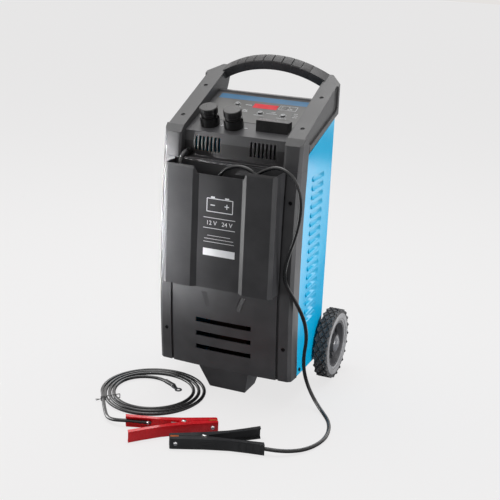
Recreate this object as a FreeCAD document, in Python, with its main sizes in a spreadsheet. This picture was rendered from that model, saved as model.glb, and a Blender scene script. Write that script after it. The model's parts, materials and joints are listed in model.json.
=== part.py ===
"""Wheeled battery charger on a foot and two wheels, with its two clamp leads.

Millimetres, +Z up, the front faces -Y. The drawing's datum is the most forward line of the front
panel (y = 0), the floor (z = 0) and the middle plane (x = 0). Every piece is then moved by the same
amount, so that the charger without its leads stands centred over the origin.
"""
import FreeCAD, Part
import math
import os
import Sketcher

os.makedirs("parts", exist_ok=True)
doc = FreeCAD.newDocument("battery_charger")
Vector = FreeCAD.Vector
Rotation = FreeCAD.Rotation

# Driving dimensions, in millimetres and degrees
DIMENSIONS = {
    # Enclosure
    "front_width": 313.0, "shell_width": 317.0, "base_height": 58.0, "seam_height": 526.0,
    "shoulder_height": 578.0, "front_depth": 36.0, "bow_radius": 2260.0, "bow_height": 338.0,
    "front_wall": 3.0, "strip_width": 28.5, "groove_width": 5.5, "groove_depth": 4.0,
    "side_sag": 4.5, "corner_back": 12.0, "corner_width": 7.0,
    "slot_half": 65.5, "slot_tall": 11.0, "slot_pitch": 32.5, "slot_top": 170.5,
    "mark_low": 206.0, "mark_high": 239.5, "mark_inner": 38.0, "mark_outer": 52.0,
    "mark_wide": 13.0, "mark_depth": 2.4,
    "screw_inset": 17.5, "screw_radius": 2.2, "head_radius": 4.0, "head_tall": 2.6,
    "well_radius": 4.6, "well_depth": 4.0, "screw_long": 14.0, "screw_short": 8.0,
    "screw_stub": 6.0, "strip_screw_low": 135.0, "strip_screw_gap": 163.0,
    # Console
    "fascia_back": 30.0, "fascia_break": 560.0, "deck_front": 33.0, "deck_front_height": 581.4,
    "deck_slope": 19.4, "deck_length": 176.0, "deck_wall": 3.0, "ledge_rise": 4.5,
    "ledge_depth": 15.0, "rear_wall_drop": 36.0, "inner_half": 117.0, "cheek_wall": 5.0,
    "vent_low": 541.0, "vent_tall": 30.0, "vent_wide": 4.0, "vent_pitch": 8.8, "vent_start": 36.5,
    "vent_count": 7.0,
    # Handle
    "facet_rise": 13.8, "facet_back": 26.6, "arm_slope": 23.8,
    "arm_top_half": 152.0, "arm_border": 9.0, "arm_wall": 3.0,
    "arm_back": 254.0, "arm_heel_height": 629.0, "arm_recess": 5.0,
    "tip_back": 226.0, "tip_half": 124.0,
    "grip_start": 223.4, "grip_deep": 28.6, "grip_thick": 20.0, "grip_rise": 35.4,
    "grip_radius": 231.8, "arm_screw_first": 37.0, "arm_screw_gap": 121.0,
    "arm_screw_half": 136.0,
    # Sheet metal
    "sheet_wall": 1.2, "panel_rear": 203.0, "panel_front_height": 557.0,
    "panel_rear_height": 608.0, "panel_low": 60.0, "seam_gap": 0.3, "flange_wide": 12.0,
    "louvre_front": 80.0, "louvre_long": 69.0, "louvre_tall": 12.0, "louvre_pitch": 19.8,
    "louvre_low": 176.0, "louvre_out": 3.2, "louvre_count": 17.0,
    "tray_wall": 1.5, "tray_front": 22.0,
    # Foot
    "foot_top_half": 59.0, "foot_low_half": 43.0, "foot_top_front": 13.0, "foot_low_front": 41.0,
    "foot_top_back": 108.0, "foot_low_back": 100.0, "foot_wall": 4.0,
    # Cable pocket
    "pocket_half": 125.0, "pocket_face_half": 117.0, "pocket_low": 262.0, "pocket_high": 524.5,
    "pocket_reach": 45.0, "middle_reach": 37.5, "middle_half": 49.0, "step_half": 60.0,
    "rim_drop": 16.5, "rim_bevel": 7.0, "rim_lean": 2.0, "pocket_wall": 3.0, "chamfer_back": 7.0,
    "bin_screw_low": 300.0,
    "bin_screw_gap": 170.0, "boss_size": 12.0, "bin_boss_back": 7.3,
    # Wheels
    "wheel_radius": 81.0, "tyre_width": 32.4, "wheel_inner": 161.6, "axle_back": 228.6,
    "axle_radius": 6.0, "running_gap": 0.05, "rim_radius": 54.0, "hub_radius": 13.0,
    "tread_depth": 4.0, "tread_count": 22.0, "tread_wide": 8.0, "tread_reach": 11.0,
    "bracket_wall": 3.0, "bracket_half": 140.0, "bracket_low": 66.0, "bracket_high": 98.0,
    "cap_radius": 21.0, "cap_tall": 4.0, "spoke_count": 6.0, "rim_dish": 5.0,
    "washer_wall": 1.5, "washer_radius": 11.0,
    # Terminals, on the deck: across and along it
    "post_left": -74.0, "post_right": -19.0, "post_along": 35.0, "collar_radius": 21.0,
    "collar_tall": 20.0, "knob_radius": 19.5, "knob_tall": 19.5, "stud_radius": 4.0,
    "stud_low": 16.0, "washer_thin": 1.5, "knob_bore_wall": 3.0, "knob_waist": 17.6,
    "flute_count": 24.0, "flute_radius": 1.0, "nut_radius": 7.5, "nut_tall": 5.0,
    # Fuse
    "fuse_middle": 69.5, "fuse_half": 36.0, "fuse_front": 26.5, "fuse_deep": 25.0,
    "fuse_tall": 24.0, "fuse_wall": 2.0, "fuse_plate_tall": 4.0, "fuse_stud_half": 22.0,
    "fuse_stud_radius": 2.5, "strip_thin": 1.2, "strip_half_wide": 6.0, "fuse_nut_radius": 4.6,
    "fuse_nut_tall": 4.0,
    # Controls
    "label_half": 106.0, "label_start": 56.0, "label_end": 171.0, "label_thin": 0.5,
    "display_left": -13.0, "display_right": 43.0, "display_start": 121.0, "display_end": 140.0,
    "button_radius": 5.5, "button_tall": 1.6, "button_travel": 1.2,
    "stem_radius": 3.0, "lamp_radius": 1.5, "board_thin": 1.6, "board_drop": 14.0,
    # Internals
    "core_wide": 120.0, "core_deep": 84.0, "core_tall": 132.0, "core_back": 112.0,
    "limb_wide": 40.0, "yoke_tall": 22.0, "winding_wall": 15.0, "winding_gap": 1.0,
    "fan_half": 60.0, "fan_deep": 25.0, "fan_height": 360.0, "fan_bore": 56.0,
    "fan_hub": 19.0, "blade_count": 7.0, "sink_tall": 110.0, "sink_wide": 150.0,
    "sink_deep": 32.0, "sink_gap": 15.0, "sink_base": 5.0, "fin_count": 10.0,
    "fin_thin": 2.0, "fin_share": 0.62, "diode_radius": 6.35, "diode_tall": 12.0,
    # Leads
    "lead_radius": 4.0, "ring_lead_radius": 3.75, "ring_bore": 4.2, "ring_outer": 8.0,
    "ring_thin": 2.0, "gland_side": -104.0, "gland_height": 537.5, "gland_nose": 16.0,
    "gland_radius": 7.5, "mains_side": 70.0, "mains_height": 92.0,
    "coil_middle": -50.0, "coil_left": -224.0, "coil_right": -62.0, "coil_pitch_left": 8.5,
    "coil_pitch_right": 21.0, "coil_lift": 1.2, "coil_start_radius": 62.0,
    "coil_start_angle": 63.0, "coil_end_radius": 119.0, "coil_end_angle": 212.0,
    "lug_barrel_radius": 4.7, "lug_barrel_long": 16.0, "lug_eye": 34.0,
    "tie_thin": 0.8, "tie_wide": 3.0, "tie_angle": 228.0, "tie_inner": 80.6, "tie_outer": 122.6,
    # Clamps: along the jaws, across and up
    "clamp_tall": 23.0, "clamp_wall": 1.8, "jaw_long": 70.0, "handle_long": 117.0,
    "jaw_half": 12.0, "pivot_half": 16.0, "elbow_long": 50.0, "elbow_half": 22.5,
    "knee_long": 85.0, "knee_rise": 9.5,
    "handle_half": 42.0, "handle_open": 30.0, "jaw_gap": 0.7, "ear_radius": 9.0,
    "rivet_radius": 3.0, "ear_gap": 0.3, "tooth_pitch": 3.0, "tooth_count": 6.0,
    "grip_step": 1.4, "spring_radius": 5.6, "spring_wire": 1.0, "spring_pitch": 2.8,
    "spring_turns": 3.0,
    "clamp_lift": 1.2, "clamp_rivet_head": 5.0, "notch_deep": 2.7, "notch_start": 51.0,
    "black_across": 69.0, "black_back": -230.0, "black_heading": 208.0,
    "red_across": 4.5, "red_back": -190.5, "red_heading": 32.0,
}
sheet = doc.addObject("Spreadsheet::Sheet", "Sizes")
for row, (alias, number) in enumerate(DIMENSIONS.items(), start=1):
    sheet.set(f"A{row}", alias)
    sheet.set(f"B{row}", str(number))
    sheet.setAlias(f"B{row}", alias)
doc.recompute()


class Size:
    """A number together with the sheet expression that gives it."""

    def __init__(self, number, text):
        self.number = float(number)
        self.text = text

    def __float__(self):
        return self.number

    def __add__(self, other):
        other = size(other)
        return Size(self.number + other.number, f"({self.text} + {other.text})")

    def __sub__(self, other):
        other = size(other)
        return Size(self.number - other.number, f"({self.text} - {other.text})")

    def __mul__(self, other):
        other = size(other)
        return Size(self.number * other.number, f"({self.text} * {other.text})")

    def __truediv__(self, other):
        other = size(other)
        return Size(self.number / other.number, f"({self.text} / {other.text})")

    def __radd__(self, other):
        return size(other) + self

    def __rsub__(self, other):
        return size(other) - self

    def __rmul__(self, other):
        return size(other) * self

    def __neg__(self):
        return size(0) - self


def size(value):
    """A plain number as a Size; a Size as it is."""
    return value if isinstance(value, Size) else Size(value, f"({float(value)!r})")


def sine(angle):
    return Size(math.sin(math.radians(float(angle))), f"sin({size(angle).text})")


def cosine(angle):
    return Size(math.cos(math.radians(float(angle))), f"cos({size(angle).text})")


def tangent(angle):
    return Size(math.tan(math.radians(float(angle))), f"tan({size(angle).text})")


def root(value):
    return Size(math.sqrt(float(value)), f"sqrt({size(value).text})")


class Sheet:
    """Reads the driving dimensions by name."""

    def __getattr__(self, alias):
        return Size(getattr(sheet, alias), f"Sizes.{alias}")


S = Sheet()


# Tools for the drawing
ORIGIN_BACK = (S.axle_back + S.wheel_radius - S.pocket_reach) / 2
NODES = {}


def bind(target, name, value):
    """Tie a property of an object to the sheet."""
    target.setExpression(name, size(value).text)


def place(target, across=0, back=0, up=0, tilt=None, axis=Vector(1, 0, 0)):
    """Move a piece that is drawn about its own datum to a spot, turned by a tilt."""
    if tilt is not None:
        target.Placement = FreeCAD.Placement(Vector(), Rotation(axis, float(tilt)))
        bind(target, "Placement.Rotation.Angle", tilt)
    bind(target, "Placement.Base.x", across)
    bind(target, "Placement.Base.y", back)
    bind(target, "Placement.Base.z", up)
    return target


def keep(label, target, across=0, back=0, up=0, tilt=None, axis=Vector(1, 0, 0)):
    """Give a finished piece its name and its place in the frame of the whole."""
    target.Label = label
    NODES[label] = place(target, across, back - ORIGIN_BACK, up, tilt, axis)
    return target


def bow(height, depth=0):
    """How far back the bowed front lies at a height, for a surface some depth behind the datum."""
    reach = S.bow_radius - depth
    rise = height - S.bow_height
    return S.bow_radius - root(reach * reach - rise * rise)


def on_deck(along, out=0):
    """A point of the deck's middle line: how far back and how high."""
    back = S.deck_front + along * cosine(S.deck_slope) - out * sine(S.deck_slope)
    height = S.deck_front_height + along * sine(S.deck_slope) + out * cosine(S.deck_slope)
    return back, height


def on_arm(along, out=0):
    """A point of the handle arms' sloping top: how far back and how high."""
    back = S.facet_back + along * cosine(S.arm_slope) - out * sine(S.arm_slope)
    height = S.shoulder_height + S.facet_rise + along * sine(S.arm_slope) + out * cosine(S.arm_slope)
    return back, height


def arc_between(start, end, radius):
    """The shorter arc between two points, with its centre on the left for a positive radius."""
    middle = (start + end) * 0.5
    chord = end - start
    left = Vector(-chord.y, chord.x, 0).normalize()
    reach = math.sqrt(radius * radius - chord.Length ** 2 / 4)
    centre = middle + left * (reach if radius > 0 else -reach)
    first, last = (start, end) if radius > 0 else (end, start)
    angles = [math.atan2(point.y - centre.y, point.x - centre.x) for point in (first, last)]
    return Part.ArcOfCircle(Part.Circle(centre, Vector(0, 0, 1), abs(radius)), *angles)


def draw_loop(sketch, loop):
    """Draw a closed outline of (x, y) or (x, y, radius of the arc to the next point)."""
    first = sketch.GeometryCount
    count = len(loop)
    spots = [Vector(float(point[0]), float(point[1]), 0) for point in loop]
    begins = []
    for index, point in enumerate(loop):
        start, end = spots[index], spots[(index + 1) % count]
        if len(point) == 3:
            sketch.addGeometry(arc_between(start, end, float(point[2])), False)
            begins.append((1, 2) if float(point[2]) > 0 else (2, 1))
        else:
            sketch.addGeometry(Part.LineSegment(start, end), False)
            begins.append((1, 2))
    for index, point in enumerate(loop):
        edge, following = first + index, first + (index + 1) % count
        begin = begins[index][0]
        sketch.addConstraint(Sketcher.Constraint(
            "Coincident", edge, begins[index][1], following, begins[(index + 1) % count][0]))
        for kind, value in (("DistanceX", point[0]), ("DistanceY", point[1])):
            number = sketch.addConstraint(
                Sketcher.Constraint(kind, -1, 1, edge, begin, float(value)))
            bind(sketch, f"Constraints[{number}]", value)
        if len(point) == 3:
            radius = point[2] if float(point[2]) > 0 else -point[2]
            number = sketch.addConstraint(Sketcher.Constraint("Radius", edge, float(radius)))
            bind(sketch, f"Constraints[{number}]", radius)


def draw_disc(sketch, across, along, radius):
    """Draw a circle."""
    edge = sketch.GeometryCount
    spot = Vector(float(across), float(along), 0)
    sketch.addGeometry(Part.Circle(spot, Vector(0, 0, 1), float(radius)), False)
    for kind, value in (("DistanceX", across), ("DistanceY", along)):
        number = sketch.addConstraint(Sketcher.Constraint(kind, -1, 1, edge, 3, float(value)))
        bind(sketch, f"Constraints[{number}]", value)
    number = sketch.addConstraint(Sketcher.Constraint("Radius", edge, float(radius)))
    bind(sketch, f"Constraints[{number}]", radius)


def disc(across, along, radius):
    """A circle, as an outline for a sketch."""
    return {"disc": (across, along, radius)}


def box_loop(left, right, low, high):
    """A rectangle, as an outline for a sketch."""
    return [(left, low), (right, low), (right, high), (left, high)]


def mirrored(loop):
    """An outline on the other side of the middle plane."""
    if isinstance(loop, dict):
        across, along, radius = loop["disc"]
        return disc(-across, along, radius)
    turned = []
    for index in range(len(loop) - 1, -1, -1):
        point, before = loop[index], loop[index - 1]
        turned.append((-point[0], point[1], before[2]) if len(before) == 3
                      else (-point[0], point[1]))
    return turned


def other_arm(loop, side):
    """An outline as it is (1), or turned over about the X axis (-1)."""
    if side > 0:
        return loop
    return [(point[0], -point[1]) for point in reversed(loop)]


class Piece:
    """One solid body, built from sketches on its own planes."""

    def __init__(self, name):
        self.name = name
        self.body = doc.addObject("PartDesign::Body", name)
        self.cuts = []

    def sketch(self, plane, low, high, loops):
        """A sketch at the start of a pad: XY, XZ, YZ, DECK, ARM, or ARM_CROSS across the handle."""
        role = {"XZ": "XZ_Plane", "YZ": "YZ_Plane", "ARM_CROSS": "XZ_Plane"}.get(plane, "XY_Plane")
        support = [item for item in self.body.Origin.OriginFeatures if item.Role == role][0]
        sketch = self.body.newObject("Sketcher::SketchObject", self.name + "_sketch")
        sketch.AttachmentSupport = [(support, "")]
        sketch.MapMode = "FlatFace"
        if plane in ("DECK", "ARM"):
            slope = S.deck_slope if plane == "DECK" else S.arm_slope
            back, height = on_deck(0, low) if plane == "DECK" else on_arm(0, low)
            places = {"y": back, "z": height}
        elif plane == "ARM_CROSS":
            slope = S.arm_slope
            back, height = on_arm(high)
            places = {"y": height, "z": -back}
        else:
            slope = None
            places = {"z": -size(high) if plane == "XZ" else size(low)}
        if slope is not None:
            sketch.AttachmentOffset = FreeCAD.Placement(
                Vector(), Rotation(Vector(1, 0, 0), float(slope)))
            bind(sketch, "AttachmentOffset.Rotation.Angle", slope)
        for letter, value in places.items():
            bind(sketch, "AttachmentOffset.Base." + letter, value)
        for loop in loops:
            if isinstance(loop, dict):
                draw_disc(sketch, *loop["disc"])
            else:
                draw_loop(sketch, loop)
        return sketch

    def pad(self, plane, low, high, *loops, lean=None):
        """Add material between two levels of a plane, straight or leaning back."""
        pad = self.body.newObject("PartDesign::Pad", self.name + "_pad")
        pad.Profile = self.sketch(plane, low, high, loops)
        bind(pad, "Length", size(high) - low)
        if lean is not None:
            pad.UseCustomVector = True
            pad.AlongSketchNormal = True
            pad.Direction = Vector(0, float(lean), float(size(high) - low))
        return self

    def pocket(self, plane, low, high, *loops):
        """Remove material between two levels of a plane."""
        pocket = self.body.newObject("PartDesign::Pocket", self.name + "_pocket")
        pocket.Profile = self.sketch(plane, low, high, loops)
        pocket.Reversed = True
        bind(pocket, "Length", size(high) - low)
        self.cuts.append(pocket)
        return self

    def turned(self, loop, plane="XY", axis="X_Axis"):
        """Add the solid of an outline turned about one of the body's own axes."""
        turn = self.body.newObject("PartDesign::Revolution", self.name + "_turn")
        turn.Profile = self.sketch(plane, size(0), size(0), [loop])
        line = [item for item in self.body.Origin.OriginFeatures if item.Role == axis][0]
        turn.ReferenceAxis = (line, [""])
        turn.Angle = 360
        return self

    def around(self, feature, count, axis="X_Axis"):
        """Repeat a feature about one of the body's own axes."""
        ring = self.body.newObject("PartDesign::PolarPattern", self.name + "_ring")
        ring.Originals = [feature]
        line = [item for item in self.body.Origin.OriginFeatures if item.Role == axis][0]
        ring.Axis = (line, [""])
        ring.Angle = 360
        bind(ring, "Occurrences", count)
        self.body.Tip = ring
        return self

    def upward(self, feature, count, pitch):
        """Repeat a feature up the body."""
        row = self.body.newObject("PartDesign::LinearPattern", self.name + "_row")
        row.Originals = [feature]
        line = [item for item in self.body.Origin.OriginFeatures if item.Role == "Z_Axis"][0]
        row.Direction = (line, [""])
        bind(row, "Length", pitch * (count - 1))
        bind(row, "Occurrences", count)
        self.body.Tip = row
        return self


def block(name, across, back, up):
    """A box between three pairs of levels."""
    solid = doc.addObject("Part::Box", name)
    for side, letter, (low, high) in zip(("Length", "Width", "Height"), "xyz", (across, back, up)):
        bind(solid, side, size(high) - low)
        bind(solid, "Placement.Base." + letter, low)
    return solid


def rod(name, axis, radius, low, high, centre=(0, 0)):
    """A cylinder along X, Y or Z between two levels, about a centre in the other two directions."""
    solid = doc.addObject("Part::Cylinder", name)
    turns = {"X": Rotation(Vector(0, 1, 0), 90), "Y": Rotation(Vector(1, 0, 0), -90),
             "Z": Rotation()}
    solid.Placement = FreeCAD.Placement(Vector(), turns[axis])
    others = [letter for letter in "xyz" if letter != axis.lower()]
    bind(solid, "Radius", radius)
    bind(solid, "Height", size(high) - low)
    bind(solid, "Placement.Base." + axis.lower(), low)
    for letter, value in zip(others, centre):
        bind(solid, "Placement.Base." + letter, value)
    return solid


def cut(name, base, *tools):
    """A solid less its tools."""
    for number, tool in enumerate(tools):
        result = doc.addObject("Part::Cut", f"{name}_cut{number}")
        result.Base, result.Tool = base, tool
        base = result
    return base


def fuse(name, *solids):
    """Several solids as one."""
    result = doc.addObject("Part::MultiFuse", name + "_fuse")
    result.Shapes = list(solids)
    return result


def group(name, solids):
    """Separate solids under one name."""
    result = doc.addObject("Part::Compound", name + "_group")
    result.Links = list(solids)
    return result


def shaped(name, shape):
    """A free shape that is made with the shape library."""
    result = doc.addObject("Part::Feature", name)
    result.Shape = shape
    return result


# Enclosure: front panel, tray, side and rear panels
FACE_HALF = S.front_width / 2
SHELL_HALF = S.shell_width / 2
STRIP_INNER = FACE_HALF - S.strip_width
CENTRE_HALF = STRIP_INNER - S.groove_width
FACE_RADIUS = (CENTRE_HALF * CENTRE_HALF + S.side_sag * S.side_sag) / (2 * S.side_sag)
SCREW_SIDE = FACE_HALF - S.screw_inset


def front_panel():
    """A bowed shell with a strip down each side, six screw wells, vents and two drain marks."""
    corner = FACE_HALF - S.corner_width
    inner = CENTRE_HALF - 7
    inner_radius = FACE_RADIUS - S.front_wall
    right = [(inner, S.front_wall - 1), (CENTRE_HALF - 3, S.groove_depth + S.front_wall),
             (FACE_HALF - 2.5, S.corner_back - 2.5), (SHELL_HALF - S.front_wall, S.front_depth),
             (SHELL_HALF, S.front_depth), (FACE_HALF, S.corner_back - 5), (corner, 1),
             (STRIP_INNER, 0), (STRIP_INNER, S.groove_depth), (CENTRE_HALF, S.groove_depth),
             (CENTRE_HALF, -0.5, FACE_RADIUS)]
    left = [(-point[0], point[1]) for point in reversed(right)]
    left[-1] = (-inner, S.front_wall - 1, inner_radius)
    left[0] = (-CENTRE_HALF, -0.5)
    right[-1] = (CENTRE_HALF, -0.5, -FACE_RADIUS)
    piece = Piece("front_panel")
    turn = piece.body.newObject("PartDesign::Revolution", "front_panel_turn")
    sketch = piece.sketch("XY", S.bow_height, S.bow_height, [right + left])
    axis = sketch.addGeometry(Part.LineSegment(
        Vector(-10, float(S.bow_radius), 0), Vector(10, float(S.bow_radius), 0)), True)
    for kind, end, value in (("DistanceX", 1, -10), ("DistanceY", 1, S.bow_radius),
                             ("DistanceX", 2, 10), ("DistanceY", 2, S.bow_radius)):
        number = sketch.addConstraint(Sketcher.Constraint(kind, -1, 1, axis, end, float(value)))
        bind(sketch, f"Constraints[{number}]", value)
    turn.Profile = sketch
    turn.ReferenceAxis = (sketch, ["Axis0"])
    turn.Angle = 16
    turn.Midplane = True
    everywhere = box_loop(-SHELL_HALF - 10, SHELL_HALF + 10, -60, 120)
    piece.pocket("XY", S.base_height - 200, S.base_height, everywhere)
    piece.pocket("XY", S.seam_height, S.seam_height + 200, everywhere)
    web = box_loop(CENTRE_HALF - 12, FACE_HALF - 1, bow(S.base_height) + S.groove_depth + 3,
                   bow(S.base_height, S.front_depth) - 0.5)
    piece.pad("XY", S.base_height, S.base_height + S.front_wall, web, mirrored(web))
    piece.pad("XY", S.seam_height - S.front_wall, S.seam_height,
              box_loop(-CENTRE_HALF + 6, CENTRE_HALF - 6, bow(S.seam_height) - 1, S.fascia_back))
    slots = []
    for number in range(3):
        middle = S.slot_top - S.slot_pitch * number
        slots.append(box_loop(-S.slot_half, S.slot_half, middle - S.slot_tall / 2,
                              middle + S.slot_tall / 2))
    piece.pocket("XZ", -20, 25, *slots)
    mark = [(S.mark_outer, S.mark_high), (S.mark_outer - S.mark_wide, S.mark_high),
            (S.mark_inner - 7, S.mark_low + 6), (S.mark_inner, S.mark_low - 3)]
    piece.pocket("XZ", -20, bow(S.mark_high) - 5 + S.mark_depth, mark, mirrored(mark))
    holes = []
    for number in range(3):
        height = S.strip_screw_low + S.strip_screw_gap * number
        for side in (SCREW_SIDE, -SCREW_SIDE):
            level = bow(height)
            piece.pad("XZ", level + 2, level + S.well_depth + 9,
                      disc(side, height, S.well_radius + 2.4))
            piece.pocket("XZ", level - 10, level + S.well_depth, disc(side, height, S.well_radius))
            piece.pocket("XZ", level - 10, level + 30, disc(side, height, S.screw_radius))
    for height in BIN_SCREWS:
        for side in (1, -1):
            holes.append(disc(side * BIN_SCREW_SIDE, height, S.screw_radius))
            piece.pad("XZ", bow(height) + 1, bow(height) + S.bin_boss_back,
                      disc(side * BIN_SCREW_SIDE, height, S.boss_size / 2))
    piece.pocket("XZ", -20, 25, *holes)
    return keep("front_panel", piece.body)


BIN_SCREW_SIDE = S.pocket_half - S.pocket_wall - S.boss_size / 2
BIN_SCREWS = (S.bin_screw_low, S.bin_screw_low + S.bin_screw_gap)
SIDE_SCREW_HEIGHT = S.base_height + 14
SIDE_SCREW_BACKS = (S.front_depth + 31, S.panel_rear - 16)
REAR_SCREW_SIDE = SHELL_HALF - 0.5 - S.flange_wide / 2
REAR_SCREW_HEIGHTS = (S.panel_low + 40, S.panel_rear_height - 60)
BRACKET_SCREWS = (S.bracket_low + 6, S.bracket_high - 6)
BRACKET_SCREW_SIDE = S.bracket_half + S.bracket_wall / 2 - 15


def side_screw_holes():
    """The holes of the screws that hold a side panel to the tray."""
    return [disc(depth, SIDE_SCREW_HEIGHT, S.screw_radius) for depth in SIDE_SCREW_BACKS]


def base_tray():
    """A steel tray that closes the bottom, with upturned flanges."""
    skin = SHELL_HALF - 0.5 - S.sheet_wall
    step = bow(S.base_height, S.front_depth) + 1
    front_half = CENTRE_HALF - 13
    outline = [(-front_half, S.tray_front), (front_half, S.tray_front), (front_half, step),
               (skin, step), (skin, S.panel_rear), (-skin, S.panel_rear), (-skin, step),
               (-front_half, step)]
    low, top = S.base_height, S.base_height + S.tray_wall
    rim = S.base_height + 24
    rear = skin - S.flange_wide - 0.5
    piece = Piece("base_tray")
    piece.pad("XY", low, top, outline)
    flange = box_loop(skin - S.tray_wall, skin, step, S.panel_rear - S.sheet_wall - 0.5)
    piece.pad("XY", top, rim, flange, mirrored(flange),
              box_loop(-rear, rear, S.panel_rear - S.tray_wall, S.panel_rear))
    piece.pocket("XY", low - 5, top + 5, box_loop(
        skin - S.flange_wide - 0.5, skin + 5, S.panel_rear - S.sheet_wall - 0.5,
        S.panel_rear + 5), box_loop(-skin - 5, -skin + S.flange_wide + 0.5,
                                    S.panel_rear - S.sheet_wall - 0.5, S.panel_rear + 5))
    piece.pocket("YZ", -skin - 5, skin + 5, *side_screw_holes())
    piece.pocket("XZ", S.panel_rear - 5, S.panel_rear + 5, *[
        disc(side * BRACKET_SCREW_SIDE, BRACKET_SCREWS[0], S.screw_radius) for side in (1, -1)])
    return keep("base_tray", piece.body)


def side_panel(side, label):
    """A painted steel side with pressed louvres, and a flange for the rear panel."""
    outer = SHELL_HALF - 0.5
    inner = outer - S.sheet_wall
    edge = S.front_depth + S.seam_gap
    radius = S.bow_radius - edge
    outline = [(bow(S.panel_low, edge), S.panel_low, -radius),
               (bow(S.panel_front_height, edge), S.panel_front_height),
               (S.panel_rear, S.panel_rear_height), (S.panel_rear, S.panel_low)]
    piece = Piece(label)

    def levels(low, high):
        return (low, high) if side > 0 else (-high, -low)

    piece.pad("YZ", *levels(inner, outer), outline)
    flange = box_loop(outer - S.flange_wide, outer, S.panel_rear - S.sheet_wall, S.panel_rear)
    piece.pad("XY", S.panel_low, S.panel_rear_height - 4, flange if side > 0 else mirrored(flange))
    piece.pocket("YZ", *levels(inner - 5, outer + 5), *side_screw_holes())
    piece.pocket("XZ", S.panel_rear - 5, S.panel_rear + 5, *[
        disc(side * REAR_SCREW_SIDE, height, S.screw_radius) for height in REAR_SCREW_HEIGHTS])
    low = S.louvre_low
    hood = [(outer - 0.1, low + S.louvre_tall), (outer - 0.1, low), (outer + S.louvre_out, low),
            (outer + S.louvre_out, low + S.sheet_wall)]
    hollow = [(inner - 1, low + S.louvre_tall - S.sheet_wall * 3), (inner - 1, low - 1),
              (outer + S.louvre_out - S.sheet_wall, low - 1),
              (outer + S.louvre_out - S.sheet_wall, low + S.sheet_wall / 2)]
    front, back = S.louvre_front, S.louvre_front + S.louvre_long
    wall = S.sheet_wall
    piece.pad("XZ", front, back, hood if side > 0 else mirrored(hood))
    piece.upward(piece.body.Tip, S.louvre_count, S.louvre_pitch)
    piece.pocket("XZ", front + wall, back - wall, hollow if side > 0 else mirrored(hollow))
    piece.upward(piece.cuts[-1], S.louvre_count, S.louvre_pitch)
    return keep(label, piece.body)


def rear_panel():
    """A flat painted back with fan vents and the opening for the mains gland."""
    outer = SHELL_HALF - 0.5
    piece = Piece("rear_panel")
    piece.pad("XZ", S.panel_rear, S.panel_rear + S.sheet_wall,
              box_loop(-outer, outer, S.panel_low, S.panel_rear_height - 1))
    slots = []
    for number in range(-4, 5):
        middle = S.fan_height + 12 * number
        slots.append(box_loop(-S.fan_bore + 4, S.fan_bore - 4, middle - 3, middle + 3))
    piece.pocket("XZ", S.panel_rear - 2, S.panel_rear + 5, *slots)
    holes = [disc(S.mains_side, S.mains_height, S.gland_radius - 2)]
    for side in (1, -1):
        holes += [disc(side * REAR_SCREW_SIDE, height, S.screw_radius) for height in REAR_SCREW_HEIGHTS]
        holes += [disc(side * BRACKET_SCREW_SIDE, height, S.screw_radius) for height in BRACKET_SCREWS]
    piece.pocket("XZ", S.panel_rear - 2, S.panel_rear + 5, *holes)
    return keep("rear_panel", piece.body)


def front_foot():
    """A hollow tapered foot under the front."""
    loft = Piece("front_foot")

    def section(height, half, front, back):
        return loft.sketch("XY", height, height, [box_loop(-half, half, front, back)])

    wall = S.foot_wall
    solid = loft.body.newObject("PartDesign::AdditiveLoft", "front_foot_loft")
    solid.Profile = section(size(0), S.foot_low_half, S.foot_low_front, S.foot_low_back)
    solid.Sections = [section(S.base_height, S.foot_top_half, S.foot_top_front, S.foot_top_back)]
    hollow = loft.body.newObject("PartDesign::SubtractiveLoft", "front_foot_hollow")
    hollow.Profile = section(wall, S.foot_low_half - wall, S.foot_low_front + wall,
                             S.foot_low_back - wall)
    hollow.Sections = [section(S.base_height, S.foot_top_half - wall, S.foot_top_front + wall,
                               S.foot_top_back - wall)]
    return keep("front_foot", loft.body)


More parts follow.
